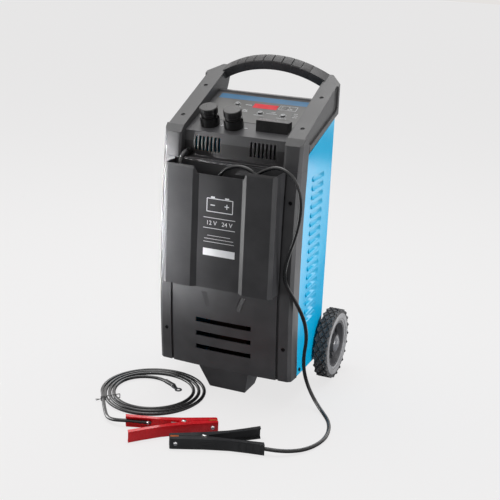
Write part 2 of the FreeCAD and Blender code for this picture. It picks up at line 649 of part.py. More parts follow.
# Console, its side cheeks, and the handle
def console_housing():
    """The upper moulding: a ledge, a vented fascia, the sloping deck, a rear wall and two cheeks."""
    wall = S.deck_wall
    seam = S.seam_height
    back = S.fascia_back
    rear_back, rear_height = on_deck(S.deck_length)
    under_back, under_height = on_deck(S.deck_length, -wall)
    front_under = on_deck(4, -wall)
    ledge_top = rear_height + S.ledge_rise
    ledge_end = rear_back + S.ledge_depth
    drop = rear_height - S.rear_wall_drop
    foot = S.panel_rear + S.sheet_wall
    section = [(bow(seam) + 1, seam), (bow(seam) + 1, seam + wall), (back, seam + wall),
               (back, S.fascia_break), (S.deck_front, S.deck_front_height),
               (rear_back, rear_height), (rear_back + 2, ledge_top), (ledge_end, ledge_top),
               (ledge_end, ledge_top - 6), (foot + wall, drop), (foot, drop),
               (ledge_end - wall, ledge_top - 7), (ledge_end - wall, ledge_top - wall),
               (under_back + wall, ledge_top - wall), (under_back, under_height),
               front_under, (back + wall, S.fascia_break), (back + wall, seam)]
    piece = Piece("console_housing")
    piece.pad("YZ", -S.inner_half, S.inner_half, section)
    shift = bow(seam)
    outer = FACE_HALF
    cheek = [(S.inner_half - 0.5, shift + S.front_depth), (S.inner_half - 0.5, shift + 4),
             (S.inner_half + 4, shift + 1), (STRIP_INNER, shift),
             (outer - S.corner_width, shift + 1), (outer, shift + S.corner_back - 5),
             (SHELL_HALF, shift + S.front_depth), (SHELL_HALF - wall, shift + S.front_depth),
             (outer - 2.5, shift + S.corner_back - 2.5), (S.inner_half + S.cheek_wall + 2, shift + 6),
             (S.inner_half + S.cheek_wall, shift + 9),
             (S.inner_half + S.cheek_wall, shift + S.front_depth)]
    lean = bow(S.shoulder_height) - shift
    piece.pad("XY", seam, S.shoulder_height, cheek, mirrored(cheek), lean=lean)
    vents = []
    for number in range(int(float(S.vent_count))):
        left = S.vent_start + S.vent_pitch * number - S.vent_wide / 2
        slot = box_loop(left, left + S.vent_wide, S.vent_low, S.vent_low + S.vent_tall)
        vents += [slot, mirrored(slot)]
    piece.pocket("XZ", back - 8, back + 12, *vents)
    piece.pocket("XZ", back - 5, back + 8, disc(S.gland_side, S.gland_height, S.gland_radius - 2))
    through = [disc(side, S.post_along, S.stud_radius + 2) for side in (S.post_left, S.post_right)]
    through += [disc(S.fuse_middle + side * S.fuse_stud_half, fuse_centre(), S.fuse_stud_radius + 0.4)
                for side in (1, -1)]
    through.append(box_loop(S.display_left, S.display_right, S.display_start, S.display_end))
    through += [disc(across, along, S.stem_radius + 0.4) for across, along in BUTTONS]
    through += [disc(across, along, S.lamp_radius + 0.1) for across, along in LAMPS]
    piece.pocket("DECK", -wall - 3, 4, *through)
    piece.pad("DECK", -S.board_drop, -wall / 2, *[
        disc(across, along, S.stem_radius) for across in (-S.label_half + 20, S.label_half - 20)
        for along in (S.label_start + 32, S.label_end - 14)])
    return keep("console_housing", piece.body)


# Places on the deck: across it and along it
BUTTONS = [(size(-50), size(129.4)), (size(14), size(101.8)), (size(67), size(99.7))]
LAMPS = [(size(62), size(130.5)), (size(62), size(137)), (size(-34), size(106)),
         (size(34), size(108)), (size(85), size(113)), (size(85), size(105.5)),
         (size(85), size(98))]


def fuse_centre():
    """How far along the deck the fuse lies."""
    return S.fuse_front + S.fuse_deep / 2


def handle_frame():
    """Two hollow arms that slope up the sides of the deck, and the arched grip between them."""
    wall = S.arm_wall
    arch = S.grip_rise - S.grip_radius
    half = S.inner_half + wall
    wide = half + 2 * wall
    under = S.grip_radius - S.grip_thick
    end = S.grip_start + S.grip_deep
    outer_end = arch + root(S.grip_radius * S.grip_radius - wide * wide)
    under_end = arch + root(under * under - half * half)
    piece = Piece("handle_frame")
    piece.pad("ARM_CROSS", S.grip_start, end, [
        (wide, outer_end, S.grip_radius), (-wide, outer_end), (-half, under_end, -under),
        (half, under_end)])
    top = S.shoulder_height
    facet_height = top + S.facet_rise
    step = bow(top, S.front_depth) + 0.5
    low_front = S.panel_front_height + 3.5
    tip_back, tip_height = on_arm(end)
    rear_back, rear_height = on_arm(end, -S.grip_thick)
    arm = [(bow(top), top), (S.facet_back, facet_height), (tip_back, tip_height),
           (rear_back, rear_height), (S.arm_back, S.arm_heel_height + 18),
           (S.arm_back - 16, S.arm_heel_height - 11),
           (S.panel_rear + 2, S.panel_rear_height + 1.2), (step, low_front), (step, top)]
    inner, outer = S.inner_half, SHELL_HALF
    piece.pad("YZ", inner, outer, arm)
    piece.pad("YZ", -outer, -inner, arm)
    chop = [(outer, S.tip_back), (S.tip_half, rear_back + 1), (S.tip_half, rear_back + 30),
            (outer + 10, rear_back + 30), (outer + 10, S.tip_back)]
    piece.pocket("XY", S.arm_heel_height - 25, tip_height + 20, chop, mirrored(chop))
    room_back, room_height = on_arm(S.grip_start - 2 * wall, -wall)
    hollow = [(bow(top) + wall + 1, top - 10), (S.facet_back + 1.5, facet_height - wall - 1),
              (room_back, room_height), (room_back, S.arm_heel_height - 10),
              (S.panel_rear + 2, S.panel_rear_height + 4.8), (S.panel_rear - 6, S.panel_rear_height - 20),
              (step + wall, low_front - 20), (step + wall, top - 10)]
    skin = S.arm_top_half - wall
    piece.pocket("YZ", inner + wall, skin, hollow)
    piece.pocket("YZ", -skin, -inner - wall, hollow)
    border = S.arm_border
    crest = S.tip_back - border
    recess = [(step + 6, low_front + border + 5), (S.panel_rear - 2, S.panel_rear_height + border + 2),
              (crest - 5, S.arm_heel_height - 5), (crest, S.arm_heel_height),
              (crest, tip_height + 60), (S.facet_back, facet_height + 60),
              (S.facet_back + 3, facet_height - 4)]
    floor = outer - S.arm_recess
    piece.pocket("YZ", floor, outer + 5, recess)
    piece.pocket("YZ", -outer - 5, -floor, recess)
    shift = bow(top)
    corner = [(FACE_HALF - S.corner_width, shift - 30), (FACE_HALF - S.corner_width, shift + 1),
              (FACE_HALF, shift + S.corner_back - 5), (outer, shift + S.front_depth),
              (outer + 10, shift + S.front_depth), (outer + 10, shift - 30)]
    piece.pocket("XY", top - 50, top + 60, corner, mirrored(corner))
    for along in (S.arm_screw_first, S.arm_screw_first + S.arm_screw_gap):
        for side in (S.arm_screw_half, -S.arm_screw_half):
            piece.pad("ARM", -S.well_depth - 8, -wall / 2, disc(side, along, S.well_radius + 2))
            piece.pocket("ARM", -S.well_depth, 20, disc(side, along, S.well_radius))
            piece.pocket("ARM", -S.well_depth - 20, 10, disc(side, along, S.screw_radius))
    return keep("handle_frame", piece.body)


def cable_pocket():
    """The bin on the front: a sunk middle between two pads, open at the top and behind."""
    wall = S.pocket_wall
    outer = [(S.pocket_half, 15), (S.pocket_half, S.chamfer_back - S.pocket_reach),
             (S.pocket_face_half, -S.pocket_reach), (S.step_half, -S.pocket_reach),
             (S.middle_half, -S.middle_reach)]
    outer += [(-point[0], point[1]) for point in reversed(outer)]
    inner = [(S.pocket_half - wall, 30), (S.pocket_half - wall, S.chamfer_back - S.pocket_reach + 1),
             (S.pocket_face_half - 1, wall - S.pocket_reach),
             (S.step_half + 1, wall - S.pocket_reach), (S.middle_half + 1, wall - S.middle_reach)]
    inner += [(-point[0], point[1]) for point in reversed(inner)]
    piece = Piece("cable_pocket")
    piece.pad("XY", S.pocket_low, S.pocket_high, outer)
    piece.pocket("XY", S.pocket_low + wall, S.pocket_high + 10, inner)
    piece.pocket("YZ", -S.pocket_half - 5, S.pocket_half + 5, [
        (-S.pocket_reach, S.pocket_high - S.rim_bevel),
        (S.rim_lean - S.pocket_reach, S.pocket_high), (S.rim_lean - S.pocket_reach, S.pocket_high + 5),
        (-S.pocket_reach - 5, S.pocket_high + 5), (-S.pocket_reach - 5, S.pocket_high - S.rim_bevel)])
    piece.pocket("XZ", -S.pocket_reach - 5, wall - S.middle_reach + 5,
                 [(S.middle_half + 3, S.pocket_high - S.rim_drop),
                  (S.step_half + 2, S.pocket_high + 5), (-S.step_half - 2, S.pocket_high + 5),
                  (-S.middle_half - 3, S.pocket_high - S.rim_drop)])
    side = S.pocket_half - wall + 0.5
    for height in BIN_SCREWS:
        half = S.boss_size / 2
        boss = box_loop(side - S.boss_size, side, height - half, height + half)
        piece.pad("XZ", -14, 15, boss, mirrored(boss))
        piece.pocket("XZ", -10, 20, disc(BIN_SCREW_SIDE, height, S.screw_radius),
                     disc(-BIN_SCREW_SIDE, height, S.screw_radius))
    clear = Piece("pocket_clearance")
    clear.pad("YZ", -SHELL_HALF, SHELL_HALF, [
        (bow(S.pocket_low - 60) - S.seam_gap - 0.5, S.pocket_low - 60, S.seam_gap - S.bow_radius),
        (bow(S.pocket_high + 60) - S.seam_gap - 0.5, S.pocket_high + 60),
        (80, S.pocket_high + 60), (80, S.pocket_low - 60)])
    middle = Piece("pocket_middle_clearance")
    middle.pad("XY", S.pocket_low - 20, S.pocket_high + 20, [
        (CENTRE_HALF, 30), (CENTRE_HALF, -0.5 - S.seam_gap, -FACE_RADIUS),
        (-CENTRE_HALF, -0.5 - S.seam_gap), (-CENTRE_HALF, 30)])
    return keep("cable_pocket", cut("cable_pocket", piece.body, clear.body, middle.body))


# Wheels and axle, drawn about the axle's own line
def wheel(side, prefix):
    """A tyre, a six-spoke rim and a hub cap on one side."""
    width, radius, rim = S.tyre_width, S.wheel_radius, S.rim_radius
    bore = rim + S.seam_gap

    def turned(points):
        return [(side * across, out) for across, out in points]

    def placed(label, target):
        return keep(label, target, side * S.wheel_inner, S.axle_back, S.wheel_radius)

    half = width / 2
    left_half = [(3, bore), (1, bore + 4), (0, radius - 15), (1.2, radius - 8),
                 (S.tread_depth + 1, radius - 1.5), (S.tread_depth + 5, radius)]
    tyre = Piece(prefix + "_tyre")
    tyre.turned(turned(left_half + [(width - point[0], point[1]) for point in reversed(left_half)]))
    wide = S.tread_wide / 2
    for plane, start, end in (("XZ", size(-3), S.tread_reach), ("XY", width + 3, width - S.tread_reach)):
        notch = [(side * start, -wide - 1.5), (side * end, -wide + 2), (side * end, wide - 2),
                 (side * start, wide + 1.5)]
        tyre.pocket(plane, radius - S.tread_depth, radius + 5, notch)
        tyre.around(tyre.cuts[-1], S.tread_count)
    placed(prefix + "_tyre", tyre.body)
    hub, bored = S.hub_radius, S.axle_radius + S.running_gap
    dish = half - S.rim_dish
    ring = S.cap_radius
    rim_piece = Piece(prefix + "_rim")
    rim_piece.turned(turned([
        (2, bored), (2, hub), (dish, hub + 3), (dish, rim - 8), (4, rim - 5), (4, rim),
        (width - 4, rim), (width - 4, rim - 5), (dish + 6, rim - 8), (dish + 5, ring + 2),
        (width - 4, ring), (width - 4, ring - 3), (dish + 5, ring - 4), (dish + 5, hub),
        (width - 8, hub - 3), (width - 8, bored)]))
    low, high = ring + 4, rim - 10
    window = [(-low / 4, low), (low / 4, low), (high / 2.7, high - 4), (high / 3.4, high),
              (-high / 3.4, high), (-high / 2.7, high - 4)]
    rim_piece.pocket("YZ", *sorted((side * (dish - 2), side * (dish + 9)), key=float), window)
    rim_piece.around(rim_piece.cuts[-1], S.spoke_count)
    placed(prefix + "_rim", rim_piece.body)
    cap = Piece(prefix + "_hub_cap")
    face = width - 4
    cap.turned(turned([(face, size(0)), (face, ring), (face + S.cap_tall - 1.5, ring),
                       (face + S.cap_tall, ring - 3), (face + S.cap_tall, size(0))]))
    placed(prefix + "_hub_cap", cap.body)


def side_levels(side, low, high):
    """The same two levels on the right (1) or the left (-1) of the middle plane."""
    return (low, high) if side > 0 else (-high, -low)


def washer(name, axis, outer, inner, low, high, centre):
    """A flat ring or a short tube."""
    return cut(name, rod(name, axis, outer, low, high, centre),
               rod(name, axis, inner, low, high, centre))


def axle_set():
    """The axle, its two brackets, and the spacers and end washers on it."""
    end = S.wheel_inner + S.tyre_width - 5
    centre = (S.axle_back, S.wheel_radius)
    keep("axle", group("axle", [rod("axle", "X", S.axle_radius, -end, end, centre)]))
    outer = S.panel_rear + S.sheet_wall
    wall = S.bracket_wall
    plate = S.bracket_half + wall / 2
    brackets, rings = [], []
    hub_start = S.wheel_inner + 2 - S.seam_gap
    hub_end = S.wheel_inner + S.tyre_width - 8 + S.seam_gap
    for side in (1, -1):
        angle = [(plate - 24, outer), (plate, outer), (plate, S.axle_back + 13),
                 (plate - wall, S.axle_back + 13), (plate - wall, outer + wall),
                 (plate - 24, outer + wall)]
        piece = Piece("axle_bracket")
        piece.pad("XY", S.bracket_low, S.bracket_high, angle if side > 0 else mirrored(angle))
        piece.pocket("YZ", -plate - 5, plate + 5, disc(S.axle_back, S.wheel_radius,
                                                      S.axle_radius + S.running_gap))
        piece.pocket("XZ", outer - 2, outer + 10, *[
            disc(side * BRACKET_SCREW_SIDE, height, S.screw_radius) for height in BRACKET_SCREWS])
        brackets.append(piece.body)
        rings.append(washer("spacer", "X", S.axle_radius + 3, S.axle_radius + S.seam_gap,
                            *side_levels(side, plate, hub_start), centre))
        rings.append(washer("washer", "X", S.washer_radius, S.axle_radius + 0.1,
                            *side_levels(side, hub_end, hub_end + S.washer_wall), centre))
    keep("axle_brackets", group("axle_brackets", brackets))
    keep("axle_washers", group("axle_washers", rings))


def screw(axis, seat, out, centre, long):
    """A pan-head screw: the head outside its seat, the shank inwards."""
    head = (seat, seat + S.head_tall) if out > 0 else (seat - S.head_tall, seat)
    shank = (seat - long, seat) if out > 0 else (seat, seat + long)
    return fuse("screw", rod("screw", axis, S.head_radius, *head, centre),
                rod("screw", axis, S.screw_radius - 0.2, *shank, centre))


def housing_screws():
    """All pan-head screws: front strips, arms, sides, back, pocket and axle brackets."""
    skin = SHELL_HALF - 0.5
    back = S.panel_rear + S.sheet_wall
    screws = []
    for side in (1, -1):
        for number in range(3):
            height = S.strip_screw_low + S.strip_screw_gap * number
            screws.append(screw("Y", bow(height) + S.well_depth, -1, (side * SCREW_SIDE, height),
                                S.screw_long))
        for along in (S.arm_screw_first, S.arm_screw_first + S.arm_screw_gap):
            screws.append(place(screw("Z", -S.well_depth, 1, (side * S.arm_screw_half, along),
                                      S.screw_long), 0, *on_arm(0), S.arm_slope))
        for depth in SIDE_SCREW_BACKS:
            screws.append(screw("X", side * skin, side, (depth, SIDE_SCREW_HEIGHT),
                                S.screw_stub))
        for height in REAR_SCREW_HEIGHTS:
            screws.append(screw("Y", back, 1, (side * REAR_SCREW_SIDE, height), S.screw_short))
        for height in BIN_SCREWS:
            seat = bow(height) + S.bin_boss_back
            screws.append(screw("Y", seat, 1, (side * BIN_SCREW_SIDE, height), S.screw_long))
        for height in BRACKET_SCREWS:
            screws.append(screw("Y", back + S.bracket_wall, 1, (side * BRACKET_SCREW_SIDE, height),
                                S.screw_short))
    keep("housing_screws", group("housing_screws", screws))


# What stands on the deck
def on_deck_at(label, target, across, along):
    """Place a piece that is drawn upright so that it stands on the deck."""
    back, height = on_deck(along)
    return keep(label, target, across, back, height, S.deck_slope)


def stand_on_deck(target, across, along):
    """Stand a piece on the deck without a name of its own."""
    return place(target, across, *on_deck(along), S.deck_slope)


def terminals():
    """Two binding posts: collar and stud with its nut, pressure washer and fluted knob."""
    top = S.collar_tall
    washer_top = top + S.washer_thin
    knob_top = washer_top + S.knob_tall
    bore = S.stud_radius + S.running_gap
    collars, studs = [], []
    for across, prefix in ((S.post_left, "left"), (S.post_right, "right")):
        collar = Piece("terminal_collar")
        collar.pad("XY", 0, top, disc(0, 0, S.collar_radius))
        collar.pocket("XY", -5, top + 5, disc(0, 0, S.stud_radius + S.seam_gap))
        collar.pocket("XY", top - 5, top + 5,
                      box_loop(S.collar_radius - 4, S.collar_radius + 5, -3, 3))
        collars.append(stand_on_deck(collar.body, across, S.post_along))
        studs.append(stand_on_deck(fuse(
            "terminal_stud", rod("stud", "Z", S.stud_radius, -S.stud_low,
                                 knob_top - S.knob_bore_wall - 4),
            rod("stud", "Z", S.nut_radius, -S.deck_wall - S.nut_tall, -S.deck_wall)), across,
            S.post_along))
        on_deck_at(prefix + "_terminal_washer", washer(
            "terminal_washer", "Z", S.nut_radius * 2, bore, top, washer_top, (0, 0)), across,
            S.post_along)
        knob = Piece(prefix + "_terminal_knob")
        knob.turned([(bore, washer_top), (S.knob_waist, washer_top), (S.knob_waist, washer_top + 4),
                     (S.knob_radius, washer_top + 6), (S.knob_radius, knob_top - 1.5),
                     (S.knob_radius - 1.5, knob_top), (size(0), knob_top),
                     (size(0), knob_top - S.knob_bore_wall), (bore, knob_top - S.knob_bore_wall)],
                    "XZ", "Z_Axis")
        knob.pocket("XY", washer_top + 3, knob_top - 3,
                    disc(0, S.knob_radius + 0.2, S.flute_radius))
        knob.around(knob.cuts[-1], S.flute_count, "Z_Axis")
        on_deck_at(prefix + "_terminal_knob", knob.body, across, S.post_along)
    keep("terminal_collars", group("terminal_collars", collars))
    keep("terminal_studs", group("terminal_studs", studs))


def fuse_set():
    """The fuse under its pull-off cover: plate, two studs, the strip and its nuts."""
    along = fuse_centre()
    half_wide = S.fuse_half - S.fuse_wall - S.seam_gap
    half_deep = S.fuse_deep / 2 - S.fuse_wall - 2
    plate_top = S.fuse_plate_tall
    strip_top = plate_top + S.strip_thin
    studs = [(side * S.fuse_stud_half, size(0)) for side in (1, -1)]
    plate = Piece("fuse_plate")
    plate.pad("XY", 0, plate_top, box_loop(-half_wide, half_wide, -half_deep, half_deep))
    plate.pocket("XY", -1, plate_top + 1, *[disc(*spot, S.fuse_stud_radius + 0.1) for spot in studs])
    on_deck_at("fuse_plate", plate.body, S.fuse_middle, along)
    on_deck_at("fuse_studs", group("fuse_studs", [
        fuse("fuse_stud", rod("fuse_stud", "Z", S.fuse_stud_radius, -S.deck_wall - 4,
                              strip_top + S.fuse_nut_tall + 1, spot),
             rod("fuse_stud", "Z", S.fuse_nut_radius, -S.deck_wall - 3, -S.deck_wall, spot),
             rod("fuse_stud", "Z", S.fuse_nut_radius, strip_top, strip_top + S.fuse_nut_tall, spot))
        for spot in studs]), S.fuse_middle, along)
    strip = Piece("fuse_strip")
    neck = S.strip_half_wide / 2
    reach = S.fuse_stud_half + 6
    wide = S.strip_half_wide
    strip.pad("XY", plate_top, strip_top, [
        (-reach, -wide), (-10, -wide), (-6, -neck), (6, -neck), (10, -wide), (reach, -wide),
        (reach, wide), (10, wide), (6, neck), (-6, neck), (-10, wide), (-reach, wide)])
    strip.pocket("XY", 0, strip_top + 1, *[disc(*spot, S.fuse_stud_radius + 0.1) for spot in studs])
    on_deck_at("fuse_strip", strip.body, S.fuse_middle, along)
    front_back, front_height = on_deck(S.fuse_front)
    rear_back, rear_height = on_deck(S.fuse_front + S.fuse_deep)
    top = front_height + S.fuse_tall
    wall = S.fuse_wall
    cover = Piece("fuse_cover")
    left, right = S.fuse_middle - S.fuse_half, S.fuse_middle + S.fuse_half
    cover.pad("YZ", left, right, [(front_back, front_height), (rear_back, rear_height),
                                  (rear_back, top), (front_back, top)])
    cover.pocket("YZ", left + wall, right - wall, [
        (front_back + wall, front_height - 10), (rear_back - wall, front_height - 10),
        (rear_back - wall, top - wall), (front_back + wall, top - wall)])
    keep("fuse_cover", cover.body)


def controls():
    """The control label, the display window, three push buttons, the lamps and the board."""
    label = Piece("control_label")
    thin = S.label_thin
    label.pad("DECK", 0, thin, box_loop(-S.label_half, S.label_half, S.label_start, S.label_end))
    label.pocket("DECK", -1, thin + 1, box_loop(
        S.display_left, S.display_right, S.display_start, S.display_end),
        *[disc(*spot, S.stem_radius + 0.4) for spot in BUTTONS],
        *[disc(*spot, S.lamp_radius + 0.1) for spot in LAMPS])
    keep("control_label", label.body)
    window = Piece("display_window")
    fit = 0.2
    board_top = -S.board_drop
    window.pad("DECK", board_top, thin + 0.1, box_loop(
        S.display_left + fit, S.display_right - fit, S.display_start + fit, S.display_end - fit))
    keep("display_window", window.body)
    for spot, name in zip(BUTTONS, ("select_button", "voltage_button", "start_button")):
        rise = thin + S.button_travel + 0.2
        on_deck_at(name, fuse(
            name, rod(name, "Z", S.button_radius, rise, rise + S.button_tall),
            rod(name, "Z", S.stem_radius, board_top + S.button_travel + S.seam_gap, rise)),
            spot[0], spot[1])
    on_deck_at("indicator_lamps", group("indicator_lamps", [
        rod("lamp", "Z", S.lamp_radius, board_top, thin + 0.6, (spot[0], spot[1]))
        for spot in LAMPS]), size(0), size(0))
    board = Piece("control_board")
    board.pad("DECK", board_top - S.board_thin, board_top,
              box_loop(-S.label_half + 14, S.label_half - 14, S.label_start + 26, S.label_end - 8))
    keep("control_board", board.body)


# Inside
def internals():
    """The transformer with its windings, the rectifier on its heat sink, and the fan."""
    floor = S.base_height + S.tray_wall
    half, deep = S.core_wide / 2, S.core_deep / 2
    limb = S.limb_wide / 2
    near, far = S.core_back - deep, S.core_back + deep
    top = floor + S.core_tall
    core = Piece("transformer_core")
    core.pad("XZ", near, far, box_loop(-half, half, floor, top))
    window = box_loop(limb, half - limb, floor + S.yoke_tall, top - S.yoke_tall)
    core.pocket("XZ", near - 5, far + 5, window, mirrored(window))
    keep("transformer_core", core.body)
    gap, wall = S.winding_gap, S.winding_wall
    windings = []
    middle = floor + S.core_tall / 2
    for low, high in ((floor + S.yoke_tall, middle - gap), (middle + gap, top - S.yoke_tall)):
        winding = Piece("winding")
        ring = limb + gap
        winding.pad("XY", low, high, box_loop(-ring - wall, ring + wall, near - gap - wall,
                                              far + gap + wall),
                    box_loop(-ring, ring, near - gap, far + gap))
        windings.append(winding.body)
    keep("transformer_windings", group("transformer_windings", windings))
    feet = []
    for side in (1, -1):
        feet.append(fuse(
            "core_foot",
            block("core_foot", side_levels(side, half, half + 3), (near, far), (floor, floor + 40)),
            block("core_foot", side_levels(side, half, half + 20), (near, far), (floor, floor + 3))))
    keep("transformer_brackets", group("transformer_brackets", feet))
    back = S.panel_rear
    low = S.fan_height + S.fan_half + S.sink_gap
    high = low + S.sink_tall
    sink_half = S.sink_wide / 2
    base = back - S.sink_base
    fins = []
    for number in range(int(float(S.fin_count))):
        left = -sink_half + (S.sink_wide * S.fin_share - S.fin_thin) / (S.fin_count - 1) * number
        fins.append(box_loop(left, left + S.fin_thin, back - S.sink_deep, base + 1))
    sink = Piece("heat_sink")
    sink.pad("XY", low, high, box_loop(-sink_half, sink_half, base, back))
    sink.pad("XY", low, high, *fins)
    keep("heat_sink", sink.body)
    keep("rectifier_diodes", group("rectifier_diodes", [
        rod("diode", "Y", S.diode_radius, base - S.diode_tall, base, (side, height))
        for side in (sink_half - 35, sink_half - 12) for height in (low + 28, high - 28)]))
    fan_front = back - S.fan_deep
    centre = (0, S.fan_height)
    frame = Piece("fan_frame")
    frame.pad("XZ", fan_front, back, box_loop(-S.fan_half, S.fan_half, S.fan_height - S.fan_half,
                                              S.fan_height + S.fan_half))
    frame.pocket("XZ", fan_front + 3, back + 1, disc(*centre, S.fan_bore))
    bars = S.fan_bore - 4
    corner = S.fan_hub + 4
    for turn_x in (1, -1):
        for turn_z in (1, -1):
            frame.pocket("XZ", fan_front - 1, fan_front + 4, [
                (turn_x * 4, S.fan_height + turn_z * corner),
                (turn_x * 4, S.fan_height + turn_z * bars),
                (turn_x * bars * 0.7, S.fan_height + turn_z * bars * 0.7),
                (turn_x * bars, S.fan_height + turn_z * 4),
                (turn_x * corner, S.fan_height + turn_z * 4)])
    frame.pocket("XZ", fan_front - 1, fan_front + 4, disc(*centre, 2 + S.running_gap))
    keep("fan_frame", frame.body)
    rotor = Piece("fan_rotor")
    rotor.pad("XZ", fan_front + 4.5, back - 3, disc(0, 0, S.fan_hub))
    rotor.pad("XZ", fan_front + 0.5, fan_front + 5, disc(0, 0, 2))
    rotor.pad("XZ", fan_front + 6, back - 4, [
        (S.fan_hub - 4, -3), (S.fan_bore - 4, -16), (S.fan_bore - 4, -13), (S.fan_hub - 3, 1)])
    blade = rotor.body.Tip
    rotor.around(blade, S.blade_count, "Y_Axis")
    keep("fan_rotor", rotor.body, 0, 0, S.fan_height)


def gland(label, across, height, wall_back, out, wall):
    """A cable gland through a wall: the nose outside, the nut inside."""
    centre = (across, height)
    nose = wall_back + out * S.gland_nose
    inside = wall_back - out * (wall + 5)

    def levels(one, other):
        return sorted((size(one), size(other)), key=float)

    body = fuse(label, rod(label, "Y", S.gland_radius, *levels(wall_back, wall_back + out * 7), centre),
                rod(label, "Y", S.gland_radius - 1.2, *levels(wall_back + out * 7, nose), centre),
                rod(label, "Y", S.gland_radius - 2.1, *levels(inside, wall_back), centre),
                rod(label, "Y", S.gland_radius, *levels(inside, wall_back - out * wall), centre))
    bore = rod(label, "Y", S.lead_radius, *levels(inside - out, wall_back + out * (S.gland_nose - 2)),
               centre)
    keep(label, cut(label, body, bore))


# Leads: their routes as centre points, from where each leaves the object or the coil
NEGATIVE_ROUTE = [
    # Out of the gland and down into the pocket
    (-104, 14, 537.5), (-104, 3, 537.5), (-104, -8, 531.5), (-104, -16, 519.5), (-104, -21, 501),
    (-103, -25, 466), (-101, -25.5, 424), (-97, -25, 386), (-81, -23, 355), (-52, -20, 339),
    (-22, -18, 347), (-5, -16, 372), (-1, -14.5, 404), (-9, -13, 436), (-17, -12, 468),
    # The first loop over the pocket's rim
    (-18, -11, 498), (0, -10, 521), (30, -10, 529.5), (60, -10, 521), (80, -10, 496),
    (94, -10, 462), (102, -10.5, 424), (102, -12, 388), (86, -15, 358), (55, -19, 345),
    (24, -23, 358), (11, -26, 388), (16, -28, 424), (32, -28, 460),
    # The second loop, out over the right rim
    (49, -28, 490), (69, -28, 515), (94, -28, 533), (122, -28.5, 541.5), (150, -29.5, 530),
    (168, -30, 504), (174, -30, 474), (173, -28, 440), (165, -25, 402), (153, -21, 366),
    # Down past the right corner to the floor
    (144, -16.5, 336), (140, -11, 310), (145, -8.5, 286), (158, 1, 261), (171, 8, 235),
    (180, 17, 208), (184, 25, 180), (183, 31, 152), (178, 37, 124), (176, 43, 96),
    (178.5, 49, 69), (187, 51, 44), (201, 46, 24), (219, 34, 10),
    # Along the floor and into the black clamp
    (240, 13, 4.4), (260, -16, 4.2), (273, -52, 4.2), (278, -90, 4.2), (272, -127, 4.2),
    (257, -160, 5.2), (236, -185, 8.4), (213.2, -200.9, 11.8), (188.7, -206, 12.7),
    (171.4, -209.5, 12.7), (152.9, -213.2, 12.7), (136.6, -216.6, 12.7),
]
POSITIVE_ROUTE = [
    # From the coil along the floor and into the red clamp
    (-227.2, -119.8, 4.95), (-211.3, -145.2, 4.95), (-191.5, -175.3, 5.0), (-170.4, -205, 5.6),
    (-156.3, -219.2, 7.2), (-142.7, -225.5, 9.4), (-127.8, -226.8, 11.7), (-113.3, -222.8, 12.7),
    (-96.2, -218.0, 12.7), (-78.1, -213.1, 12.7), (-62.0, -208.6, 12.7),
]
ARC_SHARE = 0.45
LUG_RUN = 10.0
SAMPLE_STEP = 2.0
SAMPLES_APART = 15


def unit(vector):
    """A copy of a vector with the length 1."""
    return Vector(vector).normalize()


def arc_from(start, heading, end):
    """The arc that leaves its start along a heading and reaches its end."""
    chord = end - start
    across = (chord - heading * chord.dot(heading)).normalize()
    radius = chord.dot(chord) / (2 * chord.dot(across))
    centre = start + across * radius
    middle = centre + unit((start - centre) + (end - centre)) * radius
    if heading.dot(chord) < 0:
        middle = centre * 2 - middle
    return Part.Arc(start, middle, end).toShape()


def tube(path, radius):
    """A round tube along a path."""
    edge = path.Edges[0]
    start = edge.valueAt(edge.FirstParameter)
    ring = Part.makeCircle(radius, start, edge.tangentAt(edge.FirstParameter))
    return path.makePipeShell([Part.Wire(ring)], True, False)


def report_tube(label, path, radius, shape):
    """Print how closely a tube's volume follows its section and its length."""
    share = shape.Volume / (math.pi * radius ** 2 * path.Length)
    print(f"{label}: length {path.Length:.0f} mm, volume {share:.3f} of section times length")


def cord(label, route, radius):
    """A lead: straight runs joined by tangent arcs."""
    radius = float(radius)
    spots = [Vector(*spot) for spot in route]
    edges, radii = [], []
    begin = spots[0]
    for before, corner, after in zip(spots, spots[1:], spots[2:]):
        inward, outward = corner - before, after - corner
        shorter = min(inward.Length, outward.Length)
        reach = ARC_SHARE * shorter
        radii.append(reach / math.tan(inward.getAngle(outward) / 2))
        first, last = corner - unit(inward) * reach, corner + unit(outward) * reach
        edges.append(Part.LineSegment(begin, first).toShape())
        edges.append(arc_from(first, unit(inward), last))
        begin = last
    edges.append(Part.LineSegment(begin, spots[-1]).toShape())
    path = Part.Wire(edges)
    shape = tube(path, radius)
    print(f"{label} arc radii:", " ".join(f"{number:.0f}" for number in radii))
    report_tube(label, path, radius, shape)
    return keep(label, shaped(label, shape))


def half_turn(start, end, height):
    """A half circle on the floor between two ends of a diameter, counter-clockwise from above."""
    middle = (start + end) * 0.5
    out = (end - start).cross(Vector(0, 0, 1)) * 0.5
    return Part.Arc(start + height, middle + out + height, end + height).toShape()


